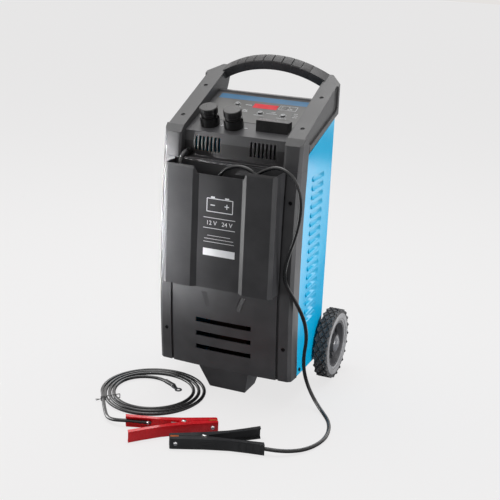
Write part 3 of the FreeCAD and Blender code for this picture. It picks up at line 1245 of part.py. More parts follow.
def coil():
    """The coiled part of the positive lead: half turns that open out by a steady step."""
    radius = float(S.ring_lead_radius)
    height = Vector(0, 0, float(S.coil_lift) + radius)
    middle = float(S.coil_middle)
    lefts = [Vector(float(S.coil_left - S.coil_pitch_left * turn), middle, 0) for turn in range(4)]
    rights = [Vector(float(S.coil_right + S.coil_pitch_right * turn), middle, 0) for turn in range(3)]
    edges = []
    start, heading = lug_place()
    bend = start + heading * LUG_RUN
    edges.append(Part.LineSegment(start + height, bend + height).toShape())
    edges.append(arc_from(bend + height, heading, lefts[0] + height))
    for turn in range(3):
        edges.append(half_turn(lefts[turn], rights[turn], height))
        edges.append(half_turn(rights[turn], lefts[turn + 1], height))
    reach = float(S.coil_end_radius)
    angle = math.radians(float(S.coil_end_angle))
    last = lefts[3] + Vector(reach + reach * math.cos(angle), reach * math.sin(angle), 0)
    edges.append(arc_from(lefts[3] + height, Vector(0, -1, 0), last + height))
    edges.append(Part.LineSegment(last + height, Vector(*POSITIVE_ROUTE[0])).toShape())
    path = Part.Wire(edges)
    shape = tube(path, radius)
    spots = path.discretize(Distance=SAMPLE_STEP)
    least = min((one - other).Length for index, one in enumerate(spots)
                for other in spots[index + SAMPLES_APART:])
    print(f"positive_coil: least gap to itself {least - 2 * radius:.2f} mm")
    report_tube("positive_coil", path, radius, shape)
    return keep("positive_coil", shaped("positive_coil", shape))


def lug_place():
    """Where the coil starts in the ring lug's barrel, and its heading there."""
    turn = float(S.coil_start_radius)
    angle = math.radians(float(S.coil_start_angle))
    centre = Vector(float(S.coil_left) + turn, float(S.coil_middle), 0)
    heading = Vector(-math.sin(angle), math.cos(angle), 0)
    bend = centre + Vector(math.cos(angle), math.sin(angle), 0) * turn
    return bend - heading * LUG_RUN, heading


def ring_lug():
    """The ring terminal on the coil's inner end: a barrel that narrows to a flat eye."""
    start, heading = lug_place()
    long = S.lug_barrel_long
    centre = S.coil_lift + S.ring_lead_radius
    low, top = S.seam_gap, S.seam_gap + S.ring_thin
    piece = Piece("ring_lug")
    piece.pad("YZ", 0, long, disc(0, centre, S.lug_barrel_radius))
    neck = S.lug_barrel_radius - 0.6
    piece.pad("XZ", -neck, neck, [(long - 2, low), (long + 8, low), (long + 8, top),
                                  (long, centre + S.lug_barrel_radius - 1.4),
                                  (long - 2, centre + S.lug_barrel_radius - 1.4)])
    piece.pad("XY", low, top, disc(S.lug_eye, 0, S.ring_outer))
    piece.pad("XY", low, top, box_loop(long + 4, S.lug_eye, -neck, neck))
    piece.pocket("XY", low - 5, top + 15, disc(S.lug_eye, 0, S.ring_bore))
    return keep("ring_lug", piece.body, start.x, start.y, 0,
                math.degrees(math.atan2(-heading.y, -heading.x)), Vector(0, 0, 1))


def coil_tie():
    """The wire tie round the coil's strands, with its two twisted ends."""
    middle = (S.coil_left + S.coil_right + S.coil_pitch_right - S.coil_pitch_left) / 2
    inner, outer = S.tie_inner, S.tie_outer
    low = S.coil_lift - S.seam_gap
    top = S.coil_lift + 2 * S.ring_lead_radius + S.seam_gap
    thin = S.tie_thin
    half = S.tie_wide / 2
    piece = Piece("coil_tie")
    rim = box_loop(inner - thin, outer + thin, low - thin, top + thin)
    piece.pad("XZ", -half, half, rim, box_loop(inner, outer, low, top))
    end = outer + thin - 0.2
    for side in (1, -1):
        twist = [(end, 0.2), (end + 11, -3.6), (end + 12, -2.6), (end, 1.4)]
        piece.pad("XY", S.ring_lead_radius, S.ring_lead_radius + 1, other_arm(twist, side))
    return keep("coil_tie", piece.body, middle, S.coil_middle, 0, S.tie_angle, Vector(0, 0, 1))


# Clamps, drawn with their jaws along +X, the pivot at the origin and the cable arm on +Y
CLAMPS = (("black", S.black_across, S.black_back, S.black_heading, NEGATIVE_ROUTE, S.lead_radius),
          ("red", S.red_across, S.red_back, S.red_heading, POSITIVE_ROUTE, S.ring_lead_radius))
KNEE_SLOPE = S.knee_rise / (S.knee_long - S.elbow_long)


def clamp_arm(label, side):
    """A pressed channel: web outside, two flanges, ears at the pivot, a grip with steps."""
    wall, tall = S.clamp_wall, S.clamp_tall
    long, grip_long = S.jaw_long, S.handle_long
    knee = (-S.knee_long, S.elbow_half + S.knee_rise)
    outline = [(-grip_long, S.handle_open), (0, S.jaw_gap), (S.notch_start, S.jaw_gap),
               (S.notch_start, S.jaw_gap + S.notch_deep), (long, S.jaw_gap + S.notch_deep),
               (long, S.jaw_half - 2), (long - 3, S.jaw_half), (0, S.pivot_half),
               (-S.elbow_long, S.elbow_half), knee, (-grip_long, S.handle_half)]
    hollow = [(-grip_long - 5, -2), (long - wall, -2), (long - wall, S.jaw_half - 3.5),
              (long - 4, S.jaw_half - wall), (0, S.pivot_half - wall),
              (-S.elbow_long, S.elbow_half - wall), (knee[0], knee[1] - wall),
              (-grip_long - 5, S.handle_half - wall + 1.5)]
    piece = Piece(label)
    piece.pad("XY", 0, tall, other_arm(outline, side))
    piece.pocket("XY", wall, tall - wall, other_arm(hollow, side))
    end_slope = (S.handle_half - knee[1]) / (grip_long - S.knee_long)
    for number in range(4):
        start = -56 - 14 * number
        rise = (S.elbow_half + (-S.elbow_long - start) * KNEE_SLOPE if start > float(knee[0])
                else knee[1] + (knee[0] - start) * end_slope)
        ridge = [(start, rise - 0.6), (start, rise + 0.2), (start - 9, rise + 2.6 + S.grip_step),
                 (start - 12, rise + 2.6)]
        piece.pad("XY", wall + 0.5, tall - wall - 0.5, other_arm(list(reversed(ridge)), side))
    piece.pad("XZ", *side_levels(side, S.jaw_half, S.jaw_half + 2), disc(58, tall / 2, 3.4))
    layers = [(0, wall), (tall - wall, tall)]
    if side < 0:
        for low, high in layers:
            piece.pocket("XY", low - 0.01, high + 0.01, disc(0, 0, S.ear_radius + 2 * S.ear_gap))
        inside = wall + S.ear_gap
        layers = [(inside, inside + wall), (tall - inside - wall, tall - inside)]
        ear = S.ear_radius
        for low, high in layers:
            piece.pad("XY", low, high, [(-ear, -1 - S.pivot_half + wall), (ear, wall - S.pivot_half),
                                        (ear, 0), (-ear, 0)])
    for low, high in layers:
        piece.pad("XY", low, high, disc(0, 0, S.ear_radius))
    piece.pocket("XY", -5, tall + 5, disc(0, 0, S.rivet_radius + S.running_gap))
    return piece.body


def clamp_teeth(side):
    """A toothed copper strip in the mouth of a jaw."""
    start = S.notch_start + 0.5
    end = start + S.tooth_pitch * S.tooth_count - 1.5
    tip, root_line, back = 0.3, 1.7, S.jaw_gap + S.notch_deep
    row = []
    for number in range(int(float(S.tooth_count))):
        foot = start + S.tooth_pitch * number
        row += [(foot, tip), (foot + S.tooth_pitch / 2, root_line)]
    piece = Piece("clamp_teeth")
    piece.pad("XY", 0.3, S.clamp_tall - 0.3, other_arm(row + [(end, back), (start, back)], side))
    piece.pad("XY", S.clamp_wall, S.clamp_tall - S.clamp_wall,
              other_arm(box_loop(start, end, back - 0.5, back + 2.5), side))
    return piece.body


def clamp_spring():
    """The spring round the rivet, wound from short arcs, with a leg against each arm."""
    radius, pitch = float(S.spring_radius), float(S.spring_pitch)
    quarters = int(float(S.spring_turns)) * 4 + 2
    low = float(S.clamp_tall) / 2 - pitch * quarters / 8
    rise = pitch / 4

    def spot(number):
        angle = math.radians(-90 + 90 * number)
        return Vector(radius * math.cos(angle), radius * math.sin(angle), low + rise * number)

    def heading(number):
        angle = math.radians(90 * number)
        steep = rise / (math.pi / 2 * radius)
        return unit(Vector(math.cos(angle), math.sin(angle), steep))

    edges = [Part.LineSegment(spot(0) - heading(0) * 20, spot(0)).toShape()]
    for number in range(quarters):
        start, end = spot(number), spot(number + 1)
        first, last = heading(number), heading(number + 1)
        chord, both = end - start, first + last
        flat = 2 * (1 - first.dot(last))
        reach = (math.sqrt(chord.dot(both) ** 2 + flat * chord.dot(chord)) - chord.dot(both)) / flat
        joint = (start + end + (first - last) * reach) * 0.5
        edges.append(arc_from(start, first, joint))
        edges.append(arc_from(joint, unit(joint - start - first * reach), end))
    end, last = spot(quarters), heading(quarters)
    edges.append(Part.LineSegment(end, end + last * 26).toShape())
    return shaped("clamp_spring", tube(Part.Wire(edges), float(S.spring_wire)))


def clamps():
    """Both clamps: two arms, teeth, spring, rivet and the crimp on the lead's end."""
    tall, wall, lift = S.clamp_tall, S.clamp_wall, S.clamp_lift
    rivets, springs, teeth, crimps = [], [], [], []
    upright = Vector(0, 0, 1)
    for prefix, across, back, heading, route, radius in CLAMPS:
        spot = (across, back, lift, heading, upright)
        keep(prefix + "_cable_arm", clamp_arm(prefix + "_cable_arm", 1), *spot)
        keep(prefix + "_free_arm", clamp_arm(prefix + "_free_arm", -1), *spot)
        keep(prefix + "_free_teeth", clamp_teeth(-1), *spot)
        teeth.append(place(clamp_teeth(1), *spot))
        springs.append(place(clamp_spring(), *spot))
        head = S.clamp_rivet_head
        rivets.append(place(fuse(
            "rivet", rod("rivet", "Z", S.rivet_radius, -lift, tall + lift),
            rod("rivet", "Z", head, -lift, 0), rod("rivet", "Z", head, tall, tall + lift)), *spot))
        web = S.elbow_half - wall
        lug = Piece("clamp_crimp")
        lug.pad("XY", tall / 2 - 5.2, tall / 2 + 5.2, [
            (-76, 17.4), (-64, 14.0), (-64, web + (64 - S.elbow_long) * KNEE_SLOPE),
            (-76, web + (76 - S.elbow_long) * KNEE_SLOPE)])
        start, end = Vector(*route[-2]), Vector(*route[-1])
        bore = doc.addObject("Part::Cylinder", "crimp_bore")
        bind(bore, "Radius", radius + 0.1)
        bind(bore, "Height", (end - start).Length)
        bore.Placement = FreeCAD.Placement(start, Rotation(upright, end - start))
        crimps.append(cut("clamp_crimp", place(lug.body, *spot), bore))
    for label, solids in (("clamp_rivets", rivets), ("clamp_springs", springs),
                          ("fixed_teeth", teeth), ("clamp_crimps", crimps)):
        keep(label, group(label, solids))


def build():
    """Make every piece."""
    front_panel()
    base_tray()
    side_panel(1, "right_side_panel")
    side_panel(-1, "left_side_panel")
    rear_panel()
    front_foot()
    console_housing()
    handle_frame()
    cable_pocket()
    wheel(1, "right")
    wheel(-1, "left")
    axle_set()
    housing_screws()
    terminals()
    fuse_set()
    controls()
    internals()
    gland("negative_gland", S.gland_side, S.gland_height, S.fascia_back, -1, S.deck_wall)
    gland("mains_gland", S.mains_side, S.mains_height, S.panel_rear + S.sheet_wall, 1, S.sheet_wall)
    cord("negative_cable", NEGATIVE_ROUTE, S.lead_radius)
    coil()
    cord("positive_cable", POSITIVE_ROUTE, S.ring_lead_radius)
    ring_lug()
    coil_tie()
    clamps()


def check():
    """Stop at a failed feature, a pocket that removes nothing, or a shape that isn't valid."""
    for item in doc.Objects:
        if "Invalid" in item.State or "Error" in item.State:
            raise RuntimeError(f"{item.Name} failed: {item.State}")
        if item.TypeId == "PartDesign::Pocket" and item.BaseFeature is not None:
            if item.BaseFeature.Shape.Volume - item.Shape.Volume < 0.5:
                raise RuntimeError(f"{item.Name} cuts nothing")
    for label, item in NODES.items():
        if item.Shape.isNull() or not item.Shape.isValid():
            raise RuntimeError(f"{label} has no valid shape")


build()
doc.recompute()
check()
for label, item in NODES.items():
    item.Shape.exportStep(f"parts/{label}.step")
print(len(NODES), "pieces written")
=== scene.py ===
"""Looks of a wheeled battery charger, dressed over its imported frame.

Metres, +Z up, the front faces -Y and the floor is z = 0. Fields of the sub-assemblies are in
millimetres and degrees. Colours are sRGB hex values. Sizes of grain are real ones, in millimetres,
unless a comment says that they are drawn coarser to show.
"""
import json
import logging
import math
from dataclasses import dataclass, field
from enum import Enum
from typing import Any, Callable, Iterable

import bmesh
import bpy
from mathutils import Matrix, Vector

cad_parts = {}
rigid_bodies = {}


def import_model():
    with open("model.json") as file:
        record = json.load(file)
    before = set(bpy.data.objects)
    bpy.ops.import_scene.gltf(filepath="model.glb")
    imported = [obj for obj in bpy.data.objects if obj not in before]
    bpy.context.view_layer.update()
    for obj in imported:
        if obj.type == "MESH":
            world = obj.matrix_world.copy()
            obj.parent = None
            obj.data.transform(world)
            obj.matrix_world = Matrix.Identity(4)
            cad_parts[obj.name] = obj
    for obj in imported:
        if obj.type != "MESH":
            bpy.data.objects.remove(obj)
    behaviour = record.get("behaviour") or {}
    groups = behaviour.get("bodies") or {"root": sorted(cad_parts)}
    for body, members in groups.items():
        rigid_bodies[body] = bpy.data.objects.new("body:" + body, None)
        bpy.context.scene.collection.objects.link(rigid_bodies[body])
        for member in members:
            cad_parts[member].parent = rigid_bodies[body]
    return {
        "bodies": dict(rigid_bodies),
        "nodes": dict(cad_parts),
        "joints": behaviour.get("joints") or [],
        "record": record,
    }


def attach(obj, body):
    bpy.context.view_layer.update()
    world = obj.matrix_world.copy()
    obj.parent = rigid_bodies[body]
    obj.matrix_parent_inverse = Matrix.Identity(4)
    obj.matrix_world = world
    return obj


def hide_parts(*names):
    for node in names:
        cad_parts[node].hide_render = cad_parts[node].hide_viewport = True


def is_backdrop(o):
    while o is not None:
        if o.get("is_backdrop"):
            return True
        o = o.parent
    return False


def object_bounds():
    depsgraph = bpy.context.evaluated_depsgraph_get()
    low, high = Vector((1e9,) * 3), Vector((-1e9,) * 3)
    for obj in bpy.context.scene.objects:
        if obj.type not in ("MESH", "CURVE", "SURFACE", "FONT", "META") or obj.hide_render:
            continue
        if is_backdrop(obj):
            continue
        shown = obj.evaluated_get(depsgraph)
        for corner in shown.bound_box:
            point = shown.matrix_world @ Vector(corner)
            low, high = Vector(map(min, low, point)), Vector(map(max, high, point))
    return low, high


LOG = logging.getLogger("charger")
MM = 0.001
# How far the drawings' front plane lies in front of the frame's origin, in metres
BENCH_BACK = 0.1323
# The body that doesn't move
BASE = "charger"
Pair = tuple[float, float]
Point = tuple[float, float, float]
Box = tuple[float, float, float, float]
Profile = tuple[Pair, ...]
Tree = bpy.types.NodeTree
Socket = bpy.types.NodeSocket
Mesh = bmesh.types.BMesh
Edge = bmesh.types.BMEdge
Face = bmesh.types.BMFace
Vert = bmesh.types.BMVert
Thing = bpy.types.Object


def linear(colour: str) -> tuple[float, float, float, float]:
    """Turn an sRGB hex value to a linear colour.

    Args:
        colour: six hex digits, with or without a leading hash.

    Returns:
        Red, green, blue and alpha in linear light.
    """
    digits = colour.lstrip("#")
    channels = []
    for start in (0, 2, 4):
        value = int(digits[start:start + 2], 16) / 255
        channels.append(value / 12.92 if value <= 0.04045 else ((value + 0.055) / 1.055) ** 2.4)
    return (*channels, 1.0)


def add_node(tree: Tree, kind: str, settings: dict[str, Any] | None = None,
             inputs: dict[Any, Any] | None = None) -> bpy.types.Node:
    """Add a node with its settings, its values and its links.

    Args:
        tree: the tree that takes the node.
        kind: the node's class name.
        settings: values of the node's own properties.
        inputs: by name or number, a value, or the output socket that feeds it.

    Returns:
        The new node.
    """
    node = tree.nodes.new(kind)
    for name, value in (settings or {}).items():
        setattr(node, name, value)
    for name, value in (inputs or {}).items():
        if isinstance(value, Socket):
            tree.links.new(value, node.inputs[name])
        else:
            node.inputs[name].default_value = value
    return node


def emptied(owner: bpy.types.Material | bpy.types.World) -> Tree:
    """Switch a material or world to nodes, and clear them.

    Args:
        owner: the material or world.

    Returns:
        Its empty node tree.
    """
    owner.use_nodes = True
    owner.node_tree.nodes.clear()
    return owner.node_tree


def stand(name: str, data: bpy.types.ID) -> Thing:
    """Put an object in the scene.

    Args:
        name: its name.
        data: its mesh, curve, lamp or camera.

    Returns:
        The new object.
    """
    made = bpy.data.objects.new(name, data)
    bpy.context.scene.collection.objects.link(made)
    return made


def round_edges(shape: Mesh, edges: Iterable[Edge], width: float, steps: int) -> None:
    """Round edges of a mesh, over a width and in a number of steps."""
    bmesh.ops.bevel(shape, geom=list(edges), offset=width, offset_type="OFFSET", segments=steps,
                    profile=0.5, affect="EDGES", material=-1, clamp_overlap=True)


def around(verts: Iterable[Vert], kind: str) -> list[Edge | Face]:
    """The edges or faces that meet points, each once."""
    return list({part for vert in verts for part in getattr(vert, "link_" + kind)})


def absorb(shape: Mesh, data: bpy.types.Curve) -> list[Vert]:
    """Add a curve or letters to a mesh.

    Args:
        shape: the mesh that takes them.
        data: the curve, which is used up.

    Returns:
        The new points.
    """
    holder = bpy.data.objects.new("holder", data)
    mesh = bpy.data.meshes.new_from_object(holder)
    before = set(shape.verts)
    shape.from_mesh(mesh)
    bpy.data.objects.remove(holder)
    bpy.data.curves.remove(data)
    bpy.data.meshes.remove(mesh)
    return [vert for vert in shape.verts if vert not in before]


def rotation(angle: float, axis: str, size: int = 4) -> Matrix:
    """A rotation by degrees about an axis."""
    return Matrix.Rotation(math.radians(angle), size, axis)


def bench(across: float, back: float, up: float) -> Point:
    """Turn a drawing point in millimetres to a point of the frame in metres."""
    return (across * MM, back * MM - BENCH_BACK, up * MM)


def seat(across: float, back: float, up: float, slope: float = 0.0,
         heading: float = 0.0) -> Matrix:
    """Where a piece drawn in millimetres goes.

    Args:
        across: where its origin is across the charger.
        back: how far back its origin is.
        up: how high its origin is.
        slope: how far its plane leans back about its own cross line.
        heading: how far it is turned on the floor.

    Returns:
        The matrix from the piece's own millimetres to the frame's metres.
    """
    turn = rotation(heading, "Z") @ rotation(slope, "X")
    return Matrix.Translation(bench(across, back, up)) @ turn @ Matrix.Scale(MM, 4)


DECK = seat(0, 33.0, 581.4, slope=19.4)
ARM = seat(0, 26.6, 591.8, slope=23.8)
POCKET_FACE = seat(0, -37.5, 0, slope=90.0)


@dataclass(frozen=True)
class Finish:
    """A surface whose colour drifts in patches and whose grain gives sheen and relief.

    Sizes are in millimetres.
    """

    name: str
    colour: str
    shade: str
    slot: str
    roughness: Pair = (0.4, 0.6)
    grain: float = 1.0
    relief: float = 0.05
    patch: float = 40.0
    stretch: Point = (1.0, 1.0, 1.0)
    metallic: float = 0.0
    ior: float = 1.5
    coat: float = 0.0
    coat_roughness: float = 0.1
    # Up to the first share the surface has its shade, from the second on its colour
    stops: Pair = (0.35, 0.65)

    def build(self) -> bpy.types.Material:
        """Make the material.

        Returns:
            The material, with its nodes linked.
        """
        material = bpy.data.materials.new(self.name)
        tree = emptied(material)
        place = add_node(tree, "ShaderNodeTexCoord")
        spread = add_node(tree, "ShaderNodeMapping", None,
                          {"Vector": place.outputs["Object"], "Scale": self.stretch})
        shader = add_node(tree, "ShaderNodeBsdfPrincipled", None, {
            "Metallic": self.metallic, "Coat Weight": self.coat,
            "Coat Roughness": self.coat_roughness})
        if not self.metallic:
            shader.inputs["IOR"].default_value = self.ior
        self.dress(tree, spread.outputs["Vector"], shader)
        add_node(tree, "ShaderNodeOutputMaterial", None, {"Surface": shader.outputs["BSDF"]})
        return material

    def dress(self, tree: Tree, spot: Socket, shader: bpy.types.Node) -> None:
        """Link colour, roughness and relief to the shader.

        Args:
            tree: the material's node tree.
            spot: where on the piece a pattern is read.
            shader: the surface shader.
        """
        drift, grain = (
            add_node(tree, "ShaderNodeTexNoise", None,
                     {"Vector": spot, "Scale": 1 / (size * MM), "Detail": detail}).outputs["Fac"]
            for size, detail in ((self.patch, 3.0), (self.grain, 2.0)))
        blend = add_node(tree, "ShaderNodeMath", {"operation": "ADD"}, {0: grain, 1: drift})
        sheen = add_node(tree, "ShaderNodeMapRange", None, {
            "Value": blend.outputs["Value"], "From Min": 0.7, "From Max": 1.3,
            "To Min": self.roughness[0], "To Max": self.roughness[1]})
        relief = add_node(tree, "ShaderNodeBump", None,
                          {"Height": grain, "Distance": self.relief * MM, "Strength": 1.0})
        tint = add_node(tree, "ShaderNodeValToRGB", None, {"Fac": self.share(tree, spot, drift)})
        for stop, place, colour in zip(tint.color_ramp.elements, self.stops,
                                       (self.shade, self.colour)):
            stop.position = place
            stop.color = linear(colour)
        for name, socket in (("Base Color", tint.outputs["Color"]),
                             ("Roughness", sheen.outputs["Result"]),
                             ("Normal", relief.outputs["Normal"])):
            tree.links.new(socket, shader.inputs[name])

    def share(self, tree: Tree, spot: Socket, drift: Socket) -> Socket:
        """How the surface varies between its shade and its colour.

        Args:
            tree: the material's node tree.
            spot: where on the piece a pattern is read.
            drift: slow noise from 0 to 1.

        Returns:
            The socket with the share, from 0 to 1.
        """
        return drift


@dataclass(frozen=True)
class BrushedMetal(Finish):
    """A metal whose polishing lines run along one direction."""

    metallic: float = 1.0
    stretch: Point = (1.0, 14.0, 14.0)


@dataclass(frozen=True)
class Banded(Finish):
    """Stacked sheets or wire laid turn on turn, seen as fine bands.

    The real bands are some 0.5 mm wide, and drawn 2 mm wide so that they show.
    """

    metallic: float = 0.7
    stops: Pair = (0.0, 1.0)
    pitch: float = 2.0
    axis: str = "Y"
    waver: float = 0.3

    def share(self, tree: Tree, spot: Socket, drift: Socket) -> Socket:
        """One band for each sheet or turn of wire."""
        bands = add_node(tree, "ShaderNodeTexWave", {"bands_direction": self.axis}, {
            "Vector": spot, "Scale": math.tau / (20 * self.pitch * MM),
            "Distortion": self.waver})
        return bands.outputs["Fac"]


@dataclass(frozen=True)
class CircuitBoard(Finish):
    """Green solder mask over copper tracks, which show as paler cells."""

    stops: Pair = (0.45, 0.5)
    cells: float = 160.0

    def share(self, tree: Tree, spot: Socket, drift: Socket) -> Socket:
        """Whether a spot is over a track."""
        cells = add_node(tree, "ShaderNodeTexVoronoi",
                         {"distance": "CHEBYCHEV", "feature": "F2"},
                         {"Vector": spot, "Scale": self.cells, "Randomness": 0.8})
        return cells.outputs["Distance"]


class Surface(Enum):
    """The finishes of the charger."""

    # Spark-textured ABS: matt charcoal, the grain breaks up its highlights
    CASE_ABS = Finish("charcoal_moulded_abs", "#404042", "#3A3A3C", "dark_plastic",
                      (0.34, 0.46), 0.9, 0.04)
    # The same ABS with a finer texture, as on the pocket's flat faces, painted a shade darker than
    # the case's as shade
    POCKET_ABS = Finish("pocket_moulded_abs", "#363638", "#303032", "dark_plastic",
                        (0.3, 0.42), 0.7, 0.03)
    # Glass-filled nylon of the handle: paler and a little rougher
    HANDLE_NYLON = Finish("handle_glass_filled_nylon", "#4A4A4B", "#424243", "grey_plastic",
                          (0.4, 0.55), 1.2, 0.06)
    # The deck, of the same ABS as the case, painted a shade paler for the light on its upward face,
    # and a little rougher
    DECK_ABS = Finish("deck_moulded_abs", "#444446", "#3D3D3F", "dark_plastic",
                      (0.36, 0.5), 0.9, 0.05)
    # Powder coat on steel sheet: glossy, with a faint orange peel of 3 mm
    BLUE_ENAMEL = Finish("blue_powder_coated_steel", "#00A2CE", "#009AC8", "blue_paint",
                         (0.13, 0.2), 3.0, 0.01, 120.0, ior=1.45)
    # Zinc plate: bright with soft streaks from rolling
    ZINC = BrushedMetal("zinc_plated_steel", "#A9ABAE", "#8D9094", "zinc_steel",
                        (0.28, 0.42), 1.6, 0.02)
    # Oxide-black screws: dark, with a dull metal gleam in their drives
    SCREW_BLACK = Finish("black_oxide_screw_steel", "#202022", "#19191B", "zinc_steel",
                         (0.3, 0.45), 0.8, 0.02, metallic=0.8)
    # Solid tyre rubber: dull black, greyed where moulding dust sits
    TYRE = Finish("moulded_tyre_rubber", "#3A3A3B", "#4A4A4C", "tyre_rubber",
                  (0.6, 0.8), 1.4, 0.12, 18.0)
    # The sidewall: painted pale grey, as the light that falls on it from the right
    SIDEWALL = Finish("sidewall_rubber_painted_light", "#8C8C8E", "#7C7C7E", "tyre_rubber",
                      (0.4, 0.55), 1.4, 0.06, 24.0)
    # Polypropylene rims: dark grey with a waxy sheen
    RIM = Finish("rim_polypropylene", "#48484B", "#404043", "dark_plastic",
                 (0.35, 0.5), 1.0, 0.04)
    # Soft-touch sleeve of the grip: matt, a little darker than the arms
    GRIP_RUBBER = Finish("soft_touch_grip_rubber", "#3E3D3E", "#363536", "grey_plastic",
                         (0.5, 0.65), 1.0, 0.08, 25.0)
    # Fascia under the deck: the same ABS, painted near black as the shade under the deck's edge,
    # and duller; the louvres' openings take it as painted shade too
    FASCIA_ABS = Finish("painted_shade_black_abs", "#131215", "#100F11", "dark_plastic",
                        (0.4, 0.5), 0.9, 0.04)
    # Screen inks, matt and opaque
    WHITE_INK = Finish("white_screen_ink", "#E4E6E8", "#D8DADC", "label_film",
                       (0.5, 0.6), 0.6, 0.0)
    BLUE_INK = Finish("blue_screen_ink", "#24668F", "#205F86", "blue_paint", (0.4, 0.5), 0.8, 0.01)
    # Bare vinyl sticker: white with a satin film over it
    STICKER = Finish("bare_vinyl_sticker", "#DCDDDF", "#D2D3D6", "label_film",
                     (0.3, 0.4), 1.2, 0.01)
    # Clear lamp lenses, unlit: grey with a hard gloss
    LENS = Finish("clear_lamp_lens", "#9C9EA0", "#8C8E90", "label_film", (0.1, 0.16), 0.6, 0.0,
                  coat=0.5)
    # Shrunk sleeve: black and duller than the lead that it holds
    HEAT_SHRINK = Finish("heat_shrink_sleeve", "#1B1B1D", "#161618", "lead_rubber",
                         (0.4, 0.5), 1.0, 0.03)
    # Hub caps: smooth grey ABS that mirrors the room softly
    HUB_CAP = Finish("hub_cap_abs", "#66676B", "#5C5D61", "cap_plastic", (0.16, 0.24), 1.2, 0.02)
    # Phenolic of knobs and fuse cover: nearly black, soft gloss
    PHENOLIC = Finish("black_phenolic", "#0E0E0F", "#0B0B0C", "black_plastic",
                      (0.24, 0.36), 0.8, 0.02)
    # Nickel plate on brass: a warm, slightly streaked mirror
    NICKEL = BrushedMetal("nickel_plated_brass", "#C9C6BE", "#B1ADA4", "nickel_brass",
                          (0.18, 0.3), 1.0, 0.01)
    # Polycarbonate film: satin with a fine linen grain
    FILM = Finish("control_film_polycarbonate", "#525251", "#4C4C4B", "label_film",
                  (0.38, 0.5), 0.8, 0.015)
    # Red acrylic over the unlit digits: even colour and a glassy face
    DISPLAY = Finish("red_display_acrylic", "#E2474E", "#DB4047", "display_red",
                     (0.16, 0.2), 2.0, 0.0, coat=0.4)
    # Button caps: mid grey polycarbonate with a satin touch
    BUTTON = Finish("button_polycarbonate", "#6E6F70", "#68696A", "button_plastic",
                    (0.3, 0.42), 0.8, 0.01)
    # Circuit board: green solder mask with paler tracks
    BOARD = CircuitBoard("circuit_board_solder_mask", "#1C6A38", "#0E4A26", "board_green",
                         (0.3, 0.4), 2.0, 0.02)
    # Core sheets: dark oxide steel, seen edge on as fine lines
    CORE = Banded("laminated_core_steel", "#2E2F31", "#1E1F20", "core_steel",
                  (0.35, 0.5), 1.5, 0.03)
    # Enamelled wire: dark brown varnish over copper, in close turns
    WINDING = Banded("enamelled_copper_wire", "#2A1A12", "#140C08", "copper",
                     (0.25, 0.4), 1.5, 0.05, axis="Z", waver=0.4)
    # Fuse strip: bare copper, brushed and a little browned
    COPPER = BrushedMetal("copper_strip", "#C9794E", "#A95D38", "copper", (0.24, 0.38), 0.9, 0.02)
    # Copper-plated jaw teeth: orange, a little dull
    TEETH = BrushedMetal("copper_plated_teeth", "#F08A52", "#DE7038", "copper",
                         (0.3, 0.45), 0.9, 0.02, metallic=0.6)
    # Rolled rivet heads: bright nickel that mirrors the pale room
    BRIGHT = BrushedMetal("bright_rivet_nickel", "#E2E3E5", "#D3D4D7", "nickel_brass",
                          (0.12, 0.2), 1.0, 0.005)
    # Extruded aluminium: pale and finely streaked
    ALUMINIUM = BrushedMetal("extruded_aluminium", "#B9BBBE", "#A4A7AA", "sink_aluminium",
                             (0.3, 0.42), 1.4, 0.02)
    # Lead jacket: soft black PVC, semi-gloss, its skin faintly mottled
    JACKET = Finish("lead_jacket_pvc", "#202123", "#191A1C", "lead_rubber", (0.22, 0.34), 1.5, 0.03,
                    coat=0.4, coat_roughness=0.12)
    # Dipped coats of the clamps: the black one is satin, the red one glossy
    BLACK_COAT = Finish("black_coated_clamp_steel", "#343537", "#2C2D2F", "black_clamp_paint",
                        (0.3, 0.46), 1.0, 0.04)
    RED_COAT = Finish("red_coated_clamp_steel", "#E81E2A", "#DC1722", "red_clamp_paint",
                      (0.2, 0.32), 1.4, 0.03, coat=0.5, coat_roughness=0.08)


